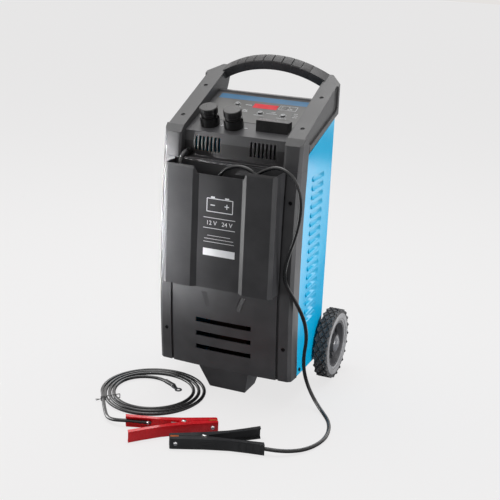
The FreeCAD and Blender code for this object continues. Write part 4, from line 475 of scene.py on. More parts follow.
class Workshop:
    """Makes materials once, and turns meshes into pieces of the charger."""

    # Points closer than this are one, and faces thinner than this are slivers, in millimetres
    WELD = 0.005
    SLIVER = 0.002
    # Faces that meet at less than this angle, in degrees, are one flat face
    FLAT = 1.0

    def __init__(self, frame: dict[str, Any]) -> None:
        """Keep the frame's nodes and learn which body carries each.
        """
        self.nodes = frame["nodes"]
        self.carrier = {node: body for body, nodes in frame["record"]["behaviour"]["bodies"].items()
                        for node in nodes}
        self.materials: dict[Surface, bpy.types.Material] = {}
        # What the sub-assembly at work has made or dressed so far
        self.made: list[str] = []

    def material(self, surface: Surface) -> bpy.types.Material:
        """The material of a finish, made at its first use.

        Args:
            surface: the finish.

        Returns:
            Its material.
        """
        if surface not in self.materials:
            self.materials[surface] = surface.value.build()
        return self.materials[surface]

    def coat(self, surface: Surface, *nodes: str) -> None:
        """Give carried-over nodes a finish.

        Args:
            surface: the finish.
            nodes: names of the nodes.
        """
        for name in nodes:
            mesh = self.nodes[name].data
            mesh.materials.clear()
            mesh.materials.append(self.material(surface))
            self.made.append(name)

    def piece(self, name: str, shape: Mesh, surface: Surface, body: str = BASE,
              replaces: Iterable[str] = (), smooth: bool = True, crisp: float = 0.0,
              second: Surface | None = None) -> Thing:
        """Turn a finished mesh into a piece.

        Args:
            name: the piece's name.
            shape: its mesh, which is used up.
            surface: its finish.
            body: the body that it rides on.
            replaces: the nodes that it stands for.
            smooth: whether its faces are shaded smooth.
            crisp: the least angle of an edge that isn't, or 0 for none.
            second: the finish of its faces with material index 1.

        Returns:
            The new object.
        """
        mesh = bpy.data.meshes.new(name)
        shape.to_mesh(mesh)
        shape.free()
        mesh.polygons.foreach_set("use_smooth", [smooth] * len(mesh.polygons))
        mesh.materials.append(self.material(surface))
        made = stand(name, mesh)
        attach(made, body)
        if replaces:
            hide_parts(*replaces)
        if second:
            mesh.materials.append(self.material(second))
        if crisp:
            mesh.set_sharp_from_angle(angle=math.radians(crisp))
        self.made.append(name)
        return made

    def softened(self, node: str, surface: Surface, width: float, limit: float = 30.0,
                 second: Surface | None = None,
                 zone: Callable[[Face], bool] | None = None) -> Thing:
        """A copy of a node with its long edges rounded, in the node's place.

        Args:
            node: the node's name.
            surface: its finish.
            width: how wide the rounding is.
            limit: the least angle of an edge that is rounded or stays crisp.
            second: the finish of the faces in the zone.
            zone: says which faces take the second finish.

        Returns:
            The new object.
        """
        shape = bmesh.new()
        shape.from_mesh(self.nodes[node].data)
        bmesh.ops.remove_doubles(shape, verts=shape.verts, dist=self.WELD * MM)
        bmesh.ops.dissolve_degenerate(shape, edges=shape.edges, dist=self.SLIVER * MM)
        bmesh.ops.dissolve_limit(shape, angle_limit=math.radians(self.FLAT), verts=shape.verts,
                                 edges=shape.edges)
        if width:
            round_edges(shape, [edge for edge in shape.edges
                                if self.rounds(edge, width * MM, limit)], width * MM, 2)
        for edge in shape.edges:
            edge.smooth = edge.calc_face_angle(math.pi) < math.radians(limit)
        if zone:
            for face in shape.faces:
                face.material_index = int(zone(face))
        made = self.piece(node + "_moulding", shape, surface, self.carrier[node], [node],
                          second=second)
        facing = made.modifiers.new("flat_faces", "WEIGHTED_NORMAL")
        facing.keep_sharp = True
        facing.weight = 80
        return made

    @staticmethod
    def rounds(edge: Edge, width: float, limit: float) -> bool:
        """Whether an edge is sharp, and long enough on every side to be rounded.

        Args:
            edge: the edge.
            width: how wide the rounding is, in metres.
            limit: the least angle in degrees.

        Returns:
            True if it takes the rounding.
        """
        if len(edge.link_faces) != 2 or edge.calc_face_angle(0.0) < math.radians(limit):
            return False
        if edge.calc_length() < 2.5 * width:
            return False
        return all(other.calc_length() > 1.3 * width for other in around(edge.verts, "edges"))


class Blank:
    """A piece in the making, drawn in millimetres in a plane of its own."""

    def __init__(self) -> None:
        """Start with nothing."""
        self.mesh = bmesh.new()

    def at(self, place: Matrix) -> Mesh:
        """The finished mesh, in its place in the frame."""
        bmesh.ops.transform(self.mesh, matrix=place, verts=self.mesh.verts)
        return self.mesh

    def slab(self, left: float, right: float, near: float, far: float, low: float,
             high: float) -> list[Vert]:
        """Add a box.

        Args:
            left: its lowest place across.
            right: its highest place across.
            near: its lowest place along.
            far: its highest place along.
            low: its underside.
            high: its top.

        Returns:
            Its corners.
        """
        made = bmesh.ops.create_cube(self.mesh, size=1.0)["verts"]
        bmesh.ops.scale(self.mesh, verts=made, vec=(right - left, far - near, high - low))
        bmesh.ops.translate(self.mesh, verts=made, vec=(
            (left + right) / 2, (near + far) / 2, (low + high) / 2))
        return made

    def turned(self, profile: Iterable[Pair], steps: int = 64, centre: Pair = (0.0, 0.0),
               closed: bool = False, stretch: float = 1.0) -> None:
        """Add a shape turned about an upright line.

        Args:
            profile: radius and height of each point of its outline.
            steps: how many faces go round.
            centre: where the line stands.
            closed: whether the outline closes on itself, as a ring's does.
            stretch: how much wider than deep the shape is.
        """
        before = set(self.mesh.verts)
        row = [self.mesh.verts.new((radius, 0.0, height)) for radius, height in profile]
        lines = [self.mesh.edges.new(pair) for pair in zip(row, row[1:])]
        if closed:
            lines.append(self.mesh.edges.new((row[-1], row[0])))
        bmesh.ops.spin(self.mesh, geom=row + lines, cent=(0, 0, 0), axis=(0, 0, 1),
                       angle=math.tau, steps=steps, use_merge=True, use_duplicate=False)
        made = [vert for vert in self.mesh.verts if vert not in before]
        bmesh.ops.remove_doubles(self.mesh, verts=made, dist=1e-4)
        made = [vert for vert in self.mesh.verts if vert not in before]
        bmesh.ops.recalc_face_normals(self.mesh, faces=around(made, "faces"))
        bmesh.ops.scale(self.mesh, verts=made, vec=(stretch, 1.0, 1.0))
        bmesh.ops.translate(self.mesh, verts=made, vec=(*centre, 0.0))

    def ring(self, inner: float, outer: float, low: float, high: float, steps: int = 48,
             centre: Pair = (0.0, 0.0), stretch: float = 1.0) -> None:
        """Add a flat ring."""
        self.turned([(inner, low), (outer, low), (outer, high), (inner, high)], steps, centre,
                    True, stretch)

    def stroke(self, start: Pair, end: Pair, wide: float, low: float, high: float) -> None:
        """Add a straight bar between two points.

        Args:
            start: where it starts, across and along.
            end: where it ends.
            wide: its width.
            low: its underside.
            high: its top.
        """
        line = Vector(end) - Vector(start)
        made = self.slab(0.0, line.length, -wide / 2, wide / 2, low, high)
        turn = Matrix.Rotation(math.atan2(line.y, line.x), 4, "Z")
        bmesh.ops.transform(self.mesh, matrix=Matrix.Translation((*start, 0.0)) @ turn, verts=made)

    def frame(self, left: float, right: float, near: float, far: float, wide: float, low: float,
              high: float) -> None:
        """Add the outline of a rectangle, in bars.

        Args:
            left: its lowest place across.
            right: its highest place across.
            near: its lowest place along.
            far: its highest place along.
            wide: the width of a bar.
            low: the underside of the bars.
            high: their top.
        """
        corners = ((left, near), (right, near), (right, far), (left, far), (left, near))
        for start, end in zip(corners, corners[1:]):
            self.stroke(start, end, wide, low, high)

    def words(self, text: str, size: float, across: float, along: float, low: float,
              thick: float, align: str = "LEFT") -> None:
        """Add plain letters or numbers.

        Args:
            text: what they say.
            size: the height of a line.
            across: where they start.
            along: the middle of their height.
            low: their underside.
            thick: how far they stand up.
            align: which end of them stands at the start.
        """
        data = bpy.data.curves.new("letters", "FONT")
        data.body = text
        data.size = size
        data.extrude = thick / 2
        data.align_x = align
        data.align_y = "CENTER"
        data.resolution_u = 3
        bmesh.ops.translate(self.mesh, verts=absorb(self.mesh, data),
                            vec=(across, along, low + thick / 2))


def pieces_for(*nodes: str) -> list[Thing]:
    """The shown pieces that stand for nodes: each node itself, or its replacement."""
    return [bpy.data.objects.get(name + "_moulding") or bpy.data.objects[name] for name in nodes]


def clamp_pieces(colour: str) -> list[Thing]:
    """The pieces of one clamp's arms and teeth."""
    arms = [colour + arm + part for arm in ("_cable_arm", "_free_arm")
            for part in ("", "_dome", "_oval")]
    return pieces_for(*arms, colour + "_free_teeth")


def tube(name: str, kind: str, spots: Iterable[Iterable[float]], radius: float,
         sides: int) -> bpy.types.Curve:
    """A capped round tube along points.

    Args:
        name: its name.
        kind: how its line runs between the points.
        spots: the points.
        radius: its radius.
        sides: how finely its section is rounded.

    Returns:
        The curve.
    """
    line = bpy.data.curves.new(name, "CURVE")
    line.dimensions = "3D"
    line.bevel_depth = radius
    line.bevel_resolution = sides
    line.use_fill_caps = True
    spline = line.splines.new(kind)
    spots = list(spots)
    spline.points.add(len(spots) - 1)
    for point, spot in zip(spline.points, spots):
        point.co = (*spot, 1.0)
    return line


@dataclass
class Lead:
    """A smooth round cord and what hangs on it. Its length is in metres."""

    diameter: float
    length: float

    def lay(self, name: str, spots: list[Point], workshop: Workshop) -> Thing:
        """Lay the cord.

        Args:
            name: the piece's name.
            spots: the route's points in metres.
            workshop: makes the materials.

        Returns:
            The cord.
        """
        line = tube(name, "NURBS", spots, self.diameter * MM / 2, 4)
        line.resolution_u = 6
        spline = line.splines[0]
        spline.order_u = 3
        spline.use_endpoint_u = True
        spline.use_smooth = True
        cord = stand(name, line)
        line.materials.append(workshop.material(Surface.JACKET))
        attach(cord, BASE)
        workshop.made.append(name)
        return cord

    def declare(self, cord: Thing, start: Point, colour: str, *others: str) -> None:
        """Args:
            cord: the cord, not used.
            start: where it leaves what carries it, not used.
            colour: the colour of its clamp, not used.
            others: nodes and pieces that go with it too, not used.
        """


@dataclass
class NegativeLead(Lead):
    """The black lead: out of its gland, looped in the pocket, down to the floor and the clamp."""

    diameter: float = 8.0
    length: float = 1.93
    # How far along the lead, and how thick the boot is there
    boot: Profile = ((3.0, 6.6), (7.0, 6.4), (9.0, 5.7), (13.0, 5.6), (15.0, 5.0), (20.0, 4.9),
                     (24.0, 4.5), (26.0, 4.1))
    route: tuple[Point, ...] = (
        # Out of the gland and down into the pocket
        (-104, 14, 537.5), (-104, 3, 537.5), (-104, -8, 531.5), (-104, -16, 519.5),
        (-104, -21, 501), (-103, -25, 466), (-101, -25.5, 424), (-97, -25, 386), (-81, -23, 355),
        (-52, -20, 339), (-22, -18, 347), (-5, -16, 372), (-1, -14.5, 404), (-9, -13, 436),
        (-17, -12, 468),
        # The first loop over the pocket's rim
        (-18, -11, 498), (0, -10, 521), (30, -10, 529.5), (60, -10, 521), (80, -10, 496),
        (94, -10, 462), (102, -10.5, 424), (102, -12, 388), (86, -15, 358), (55, -19, 345),
        (24, -23, 358), (11, -26, 388), (16, -28, 424), (32, -28, 460),
        # The second loop, out over the right rim
        (49, -28, 490), (69, -28, 515), (94, -28, 533), (122, -28.5, 541.5), (150, -29.5, 530),
        (168, -30, 504), (174, -30, 474), (173, -28, 440), (165, -25, 402), (153, -21, 366),
        # Down past the right corner to the floor
        (144, -16.5, 336), (140, -11, 310), (145, -8.5, 286), (158, 1, 261), (171, 8, 235),
        (180, 17, 208), (184, 25, 180), (183, 31, 152), (178, 37, 124), (176, 43, 96),
        (178.5, 49, 69), (187, 51, 44), (201, 46, 24), (219, 34, 10),
        # Along the floor and into the black clamp
        (240, 13, 4.4), (260, -16, 4.2), (273, -52, 4.2), (278, -90, 4.2), (272, -127, 4.2),
        (257, -160, 5.2), (236, -185, 8.4), (213.2, -200.9, 11.8), (188.7, -206, 12.7),
        (171.4, -209.5, 12.7), (152.9, -213.2, 12.7), (136.6, -216.6, 12.7))

    def build(self, workshop: Workshop) -> None:
        """Args:
            workshop: makes the pieces.
        """
        spots = [bench(*spot) for spot in self.route]
        lead = self.lay("negative_lead", spots, workshop)
        self.lay_boot(lead, workshop)
        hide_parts("negative_cable")
        self.declare(lead, spots[0], "black", "negative_boot", "black_clamp_band",
                     "black_pivot_dome")

    def lay_boot(self, cord: Thing, workshop: Workshop) -> None:
        """Lay a tapered strain relief that follows the first run of the lead.

        Args:
            cord: the lead.
            workshop: makes the pieces.
        """
        route = cord.data.copy()
        route.bevel_depth = 0.0
        traced = bmesh.new()
        spots = [vert.co.copy() for vert in absorb(traced, route)]
        traced.free()
        places = []
        for along, _ in self.boot:
            left = along * MM
            for start, end in zip(spots, spots[1:]):
                run = (end - start).length
                if left <= run:
                    break
                left -= run
            places.append(start.lerp(end, left / run))
        line = tube("negative_boot", "POLY", places, MM, 5)
        for point, (_, radius) in zip(line.splines[0].points, self.boot):
            point.radius = radius
        shape = bmesh.new()
        absorb(shape, line)
        bmesh.ops.remove_doubles(shape, verts=shape.verts, dist=1e-6)
        bmesh.ops.recalc_face_normals(shape, faces=shape.faces)
        workshop.piece("negative_boot", shape, Surface.HEAT_SHRINK)


@dataclass
class PositiveLead(Lead):
    """The red clamp's lead: a flat coil on the floor that ends in a ring lug."""

    diameter: float = 7.5
    length: float = 2.27
    height: float = 4.95
    middle: float = -50.0
    # The coil's ends across, how far each turn moves them, and how deep its front half is
    left: float = -224.0
    right: float = -50.0
    left_step: float = 8.5
    right_step: float = 12.0
    sag: Point = (94.0, 106.0, 120.0)
    points_a_turn: int = 16
    start_radius: float = 62.0
    start_angle: float = 63.0
    end_radius: float = 119.0
    end_angle: float = 212.0
    lug_run: float = 10.0
    lug: Point = (-124.94, 0.7, -27.0)
    sleeve: Profile = ((3.4, -14.6), (4.4, -14.2), (4.85, -12.5), (4.85, 15.0), (4.5, 16.6),
                       (3.0, 17.2))
    tail: tuple[Point, ...] = (
        (-227.2, -119.8, 4.95), (-211.3, -145.2, 4.95), (-191.5, -175.3, 5.0),
        (-170.4, -205, 5.6), (-156.3, -219.2, 7.2), (-142.7, -225.5, 9.4), (-127.8, -226.8, 11.7),
        (-113.3, -222.8, 12.7), (-96.2, -218.0, 12.7), (-78.1, -213.1, 12.7), (-62.0, -208.6, 12.7))

    def coil(self) -> list[Point]:
        """Points of the coil, from the lug to the tail.

        Returns:
            Drawing points in millimetres.
        """
        step = math.tau / self.points_a_turn
        # The cord cuts the corners between its points, so they lie a little farther out
        reach = 0.75 + 0.25 * math.cos(step)
        spots: list[Point] = []

        def sweep(centre: float, radius: float, start: float, end: float,
                  depth: float = 0.0) -> None:
            """Add points of an arc about a point of the coil's middle line.

            Args:
                centre: where that point is across.
                radius: the arc's radius, or its half width.
                start: the angle at which it starts.
                end: the angle at which it ends.
                depth: how deep it is, or 0 for a round arc.
            """
            count = max(2, round((end - start) / math.degrees(step)))
            for number in range(count):
                angle = math.radians(start + (end - start) * (number + 0.5) / count)
                wide = radius / reach
                deep = (depth or radius) / reach
                spots.append((centre + wide * math.cos(angle),
                              self.middle + deep * math.sin(angle), self.height))

        centre = self.left + self.start_radius
        angle = math.radians(self.start_angle)
        bend = (centre + math.cos(angle) * self.start_radius,
                self.middle + math.sin(angle) * self.start_radius)
        spots.append((bend[0] + math.sin(angle) * self.lug_run,
                      bend[1] - math.cos(angle) * self.lug_run, self.height))
        sweep(centre, self.start_radius, self.start_angle, 180.0)
        left = self.left
        for turn, depth in enumerate(self.sag):
            right = self.right + self.right_step * turn
            sweep((left + right) / 2, (right - left) / 2, 180.0, 360.0, depth)
            left -= self.left_step
            sweep((left + right) / 2, (right - left) / 2, 0.0, 180.0)
        sweep(left + self.end_radius, self.end_radius, 180.0, self.end_angle)
        return spots

    def build(self, workshop: Workshop) -> None:
        """Args:
            workshop: makes the pieces.
        """
        spots = [bench(*spot) for spot in (*self.coil(), *self.tail)]
        spots.reverse()
        lead = self.lay("positive_lead", spots, workshop)
        across, back, heading = self.lug
        sleeve = Blank()
        sleeve.turned(self.sleeve, 24)
        place = seat(across, back, self.height, heading=heading) @ rotation(90, "Y")
        workshop.piece("lug_sleeve", sleeve.at(place), Surface.HEAT_SHRINK)
        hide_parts("positive_coil", "positive_cable")
        self.declare(lead, spots[0], "red", "ring_lug", "lug_sleeve", "coil_tie", "clamp_rivets",
                     "clamp_springs", "fixed_teeth", "red_clamp_band", "red_pivot_dome")


@dataclass
class Case:
    """Front panel, sheet back, tray, foot and console."""

    # The painted shade on the fascia ends at this height, this far back and this far from the
    # middle
    fascia_break: float = 560.4
    fascia_back: float = 34.0
    fascia_half: float = 117.5
    panel_face: float = -0.45
    # Ramps in the drain marks: upper end, length, half width, turn, and where their underside,
    # their inner edge and the two ends of their outer edge are
    ramp_start: Pair = (45.5, 239.5)
    ramp_long: float = 34.0
    ramp_half: float = 5.6
    ramp_turn: float = -109.7
    ramp_levels: Pair = (-0.8, 0.1)
    ramp_rise: Pair = (2.5, 1.5)

    def build(self, workshop: Workshop) -> None:
        """Dress the case.

        Args:
            workshop: makes the pieces.
        """
        for side, name in ((1, "right"), (-1, "left")):
            workshop.piece(name + "_drain_ramp", self.drain_ramp(side), Surface.CASE_ABS,
                           smooth=False)
        workshop.softened("front_panel", Surface.CASE_ABS, 0.8, 14.0)
        workshop.softened("front_foot", Surface.CASE_ABS, 1.5)
        # The console's deck takes a paler copy of the ABS, painted light, and its fascia a
        # near-black one, painted shade
        workshop.softened("console_housing", Surface.DECK_ABS, 0.8, 20.0, Surface.FASCIA_ABS,
                          self.in_fascia_shade)
        workshop.softened("rear_panel", Surface.BLUE_ENAMEL, 0.4)
        workshop.coat(Surface.ZINC, "base_tray", "axle", "axle_brackets", "axle_washers")
        workshop.coat(Surface.SCREW_BLACK, "housing_screws")

    def drain_ramp(self, side: int) -> Mesh:
        """Draw the slanted floor of one drain mark.

        Args:
            side: 1 for the right one, -1 for the left.

        Returns:
            The mesh in its place.
        """
        ramp = Blank()
        for vert in ramp.slab(0.0, self.ramp_long, -self.ramp_half, self.ramp_half,
                              *self.ramp_levels):
            if vert.co.z > 0 and vert.co.y > 0:
                vert.co.z = self.ramp_rise[int(vert.co.x > 1)]
        place = Matrix.Translation((*self.ramp_start, 0.0)) @ rotation(self.ramp_turn, "Z")
        ramp.at(place)
        bmesh.ops.scale(ramp.mesh, verts=ramp.mesh.verts, vec=(side, 1.0, 1.0))
        bmesh.ops.recalc_face_normals(ramp.mesh, faces=ramp.mesh.faces)
        return ramp.at(seat(0, self.panel_face, 0, slope=90.0))

    def in_fascia_shade(self, face: Face) -> bool:
        """Whether a face of the console lies on the fascia under the deck, which takes painted
        shade.

        Args:
            face: the face, in its place in the frame.

        Returns:
            True if it does.
        """
        spot = face.calc_center_median()
        right, back, top = bench(self.fascia_half, self.fascia_back, self.fascia_break)
        return abs(spot.x) < right and spot.y < back and spot.z < top


@dataclass
class SidePanels:
    """The two painted sheet sides with their rounded louvres."""

    face: float = 158.0
    # What stands out of the sheet's face by more than this is cut off
    skin: float = 0.03
    front: float = 80.0
    long: float = 69.0
    low: float = 176.0
    tall: float = 12.0
    pitch: float = 19.8
    out: float = 3.2
    count: int = 17
    root: float = -0.3
    # The flat left at a hood's round ends, and how high its slope starts at the lip, as a share
    end_flat: float = 0.2
    brow: float = 1.06
    rim: float = 0.8
    # The painted shade in the opening under a hood, a dark strip: short of its ends, from and to
    # beside its lip, and how far from the sheet and short of the hood
    shade_inset: float = 7.0
    shade_lip: Pair = (-0.15, 0.4)
    shade_out: Pair = (0.2, 0.9)

    def hood(self, blank: Blank, low: float) -> None:
        """Add one louvre: a rounded wedge that opens downwards.

        Args:
            blank: the piece, drawn along the panel, up it and out of it.
            low: the height of its lip.
        """
        before = set(blank.mesh.verts)
        made = blank.slab(self.front, self.front + self.long, low, low + self.tall, self.root,
                          self.out)
        corners = [edge for edge in around(made, "edges")
                   if abs(edge.verts[0].co.z - edge.verts[1].co.z) > 1]
        round_edges(blank.mesh, corners, self.tall / 2 - self.end_flat, 6)
        made = [vert for vert in blank.mesh.verts if vert not in before]
        for vert in made:
            if vert.co.z > 0:
                vert.co.z = self.out * min(1.0, self.brow - (vert.co.y - low) / self.tall)
        rim = [edge for edge in around(made, "edges")
               if min(edge.verts[0].co.z, edge.verts[1].co.z) > 0.1
               and edge.calc_face_angle(0.0) > 0.5]
        round_edges(blank.mesh, rim, self.rim, 2)

    def build(self, workshop: Workshop) -> None:
        """Make both panels from their sheets and new louvres.

        Args:
            workshop: makes the pieces.
        """
        for side, name in ((1, "right"), (-1, "left")):
            panel = name + "_side_panel"
            self.shave(workshop.softened(panel, Surface.BLUE_ENAMEL, 0.0).data, side)
            hoods, shade_strips = Blank(), Blank()
            for number in range(self.count):
                low = self.low + self.pitch * number
                self.hood(hoods, low)
                # Each hood gets a dark strip at its lip: painted shade for its opening into the
                # case
                shade_strips.slab(self.front + self.shade_inset, self.front + self.long - self.shade_inset,
                           low + self.shade_lip[0], low + self.shade_lip[1], self.shade_out[0],
                           self.out - self.shade_out[1])
            plane = Matrix.Translation((side * self.face * MM, -BENCH_BACK, 0)) @ Matrix(
                ((0, 0, side * MM, 0), (MM, 0, 0, 0), (0, MM, 0, 0), (0, 0, 0, 1)))
            if side < 0:
                for part in (hoods, shade_strips):
                    bmesh.ops.reverse_faces(part.mesh, faces=part.mesh.faces)
            body = workshop.carrier[panel]
            workshop.piece(name + "_louvres", hoods.at(plane), Surface.BLUE_ENAMEL, body, crisp=50)
            workshop.piece(name + "_louvre_openings", shade_strips.at(plane), Surface.FASCIA_ABS, body,
                           smooth=False)

    def shave(self, mesh: bpy.types.Mesh, side: int) -> None:
        """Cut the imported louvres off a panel's sheet.

        Args:
            mesh: the panel.
            side: 1 for the right one, -1 for the left.
        """
        shape = bmesh.new()
        shape.from_mesh(mesh)
        cut = bmesh.ops.bisect_plane(
            shape, geom=[*shape.verts, *shape.edges, *shape.faces], dist=1e-6,
            plane_co=(side * (self.face + self.skin) * MM, 0, 0), plane_no=(side, 0, 0),
            clear_outer=True)["geom_cut"]
        bmesh.ops.holes_fill(shape, edges=[part for part in cut if isinstance(part, Edge)])
        shape.to_mesh(mesh)
        shape.free()


@dataclass
class CableBin:
    """The cable pocket with its printed marks: a battery, its voltages and plain rules."""

    ink: float = 0.12
    outline: Box = (-29.0, 29.0, 431.0, 459.0)
    outline_wide: float = 1.6
    # The battery's poles, and the signs under them
    pole: float = 16.0
    pole_half: float = 4.5
    pole_tall: Pair = (1.6, 4.4)
    sign_height: float = 445.0
    sign_half: float = 5.0
    sign_wide: float = 2.0
    rules: tuple[float, ...] = (417.5, 395.0)
    rule_half: float = 36.0
    rule_wide: float = 1.2
    voltages: str = "12 V   24 V"
    voltage_size: float = 13.0
    voltage_height: float = 406.0
    # Height and half width of each small line
    notes: Profile = ((379.0, 26.0), (372.0, 33.0), (365.0, 35.0))
    note_wide: float = 0.9
    sticker: Box = (-35.0, 37.5, 335.0, 350.5)
    sticker_thick: float = 0.16

    def build(self, workshop: Workshop) -> None:
        """Dress the pocket and print its marks.

        Args:
            workshop: makes the pieces.
        """
        # The pocket's ABS is painted a shade darker than the case's, as shade
        workshop.softened("cable_pocket", Surface.POCKET_ABS, 1.0, 20.0)
        ink = Blank()
        ink.frame(*self.outline, self.outline_wide, 0.0, self.ink)
        height, reach = self.sign_height, self.sign_half
        for side in (-1, 1):
            across = side * self.pole
            ink.slab(across - self.pole_half, across + self.pole_half,
                     *(self.outline[3] + rise for rise in self.pole_tall), 0.0, self.ink)
            ink.stroke((across - reach, height), (across + reach, height), self.sign_wide, 0.0,
                       self.ink)
        ink.stroke((self.pole, height - reach), (self.pole, height + reach), self.sign_wide, 0.0,
                   self.ink)
        for height in self.rules:
            ink.stroke((-self.rule_half, height), (self.rule_half, height), self.rule_wide, 0.0,
                       self.ink)
        ink.words(self.voltages, self.voltage_size, 0.0, self.voltage_height, 0.0, self.ink,
                  "CENTER")
        for height, half in self.notes:
            ink.stroke((-half, height), (half, height), self.note_wide, 0.0, self.ink)
        workshop.piece("pocket_marks", ink.at(POCKET_FACE), Surface.WHITE_INK, smooth=False)
        label = Blank()
        label.slab(*self.sticker, 0.0, self.sticker_thick)
        workshop.piece("pocket_sticker", label.at(POCKET_FACE), Surface.STICKER, smooth=False)


@dataclass
class Handle:
    """The arms, and the grip with its soft sleeve."""

    # The line that the grip bends about, this far over the arms' plane, and the sleeve's section:
    # along that line and out from it
    arc_centre: float = -196.4
    arc_radius: float = 231.8
    section: Profile = (
        (222.9, 214.0), (222.9, 231.6), (224.6, 233.8), (230.0, 235.2), (237.7, 235.8),
        (245.5, 235.2), (250.8, 233.8), (252.5, 231.6), (252.5, 214.0), (250.0, 211.4),
        (225.4, 211.4))
    # Angles along the arc: from rib to rib, of a groove, and from the middle to the sleeve's end
    pitch: float = 5.51
    groove: float = 0.42
    reach: float = 27.0
    ribs: int = 8
    rib_edge: float = 0.5
    crown: float = 1.02

    def sleeve(self) -> Blank:
        """Draw the sleeve rib by rib, lower towards its ends.

        Returns:
            The piece, in the arm's plane.
        """
        blank = Blank()
        for number in range(-1, self.ribs + 1):
            start = (number - self.ribs / 2) * self.pitch + self.groove / 2
            end = start + self.pitch - self.groove
            if number == -1:
                start = -self.reach
            if number == self.ribs:
                end = self.reach
            self.rib(blank, start, end)
        for vert in blank.mesh.verts:
            radius = math.hypot(vert.co.x, vert.co.z)
            if radius > self.arc_radius:
                lean = math.degrees(math.atan2(vert.co.x, vert.co.z)) / self.reach
                wanted = self.arc_radius + (radius - self.arc_radius) * (self.crown - lean * lean)
                vert.co.x *= wanted / radius
                vert.co.z *= wanted / radius
        bmesh.ops.translate(blank.mesh, verts=blank.mesh.verts, vec=(0, 0, self.arc_centre))
        return blank

    def rib(self, blank: Blank, start: float, end: float) -> None:
        """Add one rib about the arc's centre.

        Args:
            blank: the sleeve.
            start: the angle at which it starts.
            end: the angle at which it ends.
        """
        row = [blank.mesh.verts.new((0, along, radius)) for along, radius in self.section]
        face = blank.mesh.faces.new(row)
        bmesh.ops.rotate(blank.mesh, verts=row, cent=(0, 0, 0), matrix=rotation(start, "Y", 3))
        before = set(blank.mesh.verts) - set(row)
        bmesh.ops.spin(blank.mesh, geom=[face, *face.edges, *row], cent=(0, 0, 0),
                       axis=(0, 1, 0), angle=math.radians(start - end), steps=5,
                       use_merge=False, use_duplicate=False)
        made = [vert for vert in blank.mesh.verts if vert not in before]
        faces = around(made, "faces")
        bmesh.ops.recalc_face_normals(blank.mesh, faces=faces)
        ends = [edge for edge in {edge for face in faces for edge in face.edges}
                if edge.calc_face_angle(0.0) > math.radians(60)]
        round_edges(blank.mesh, ends, self.rib_edge, 1)

    def build(self, workshop: Workshop) -> None:
        """Dress the handle."""
        workshop.softened("handle_frame", Surface.HANDLE_NYLON, 1.2, 20.0)
        workshop.piece("grip_sleeve", self.sleeve().at(ARM), Surface.GRIP_RUBBER, crisp=28)


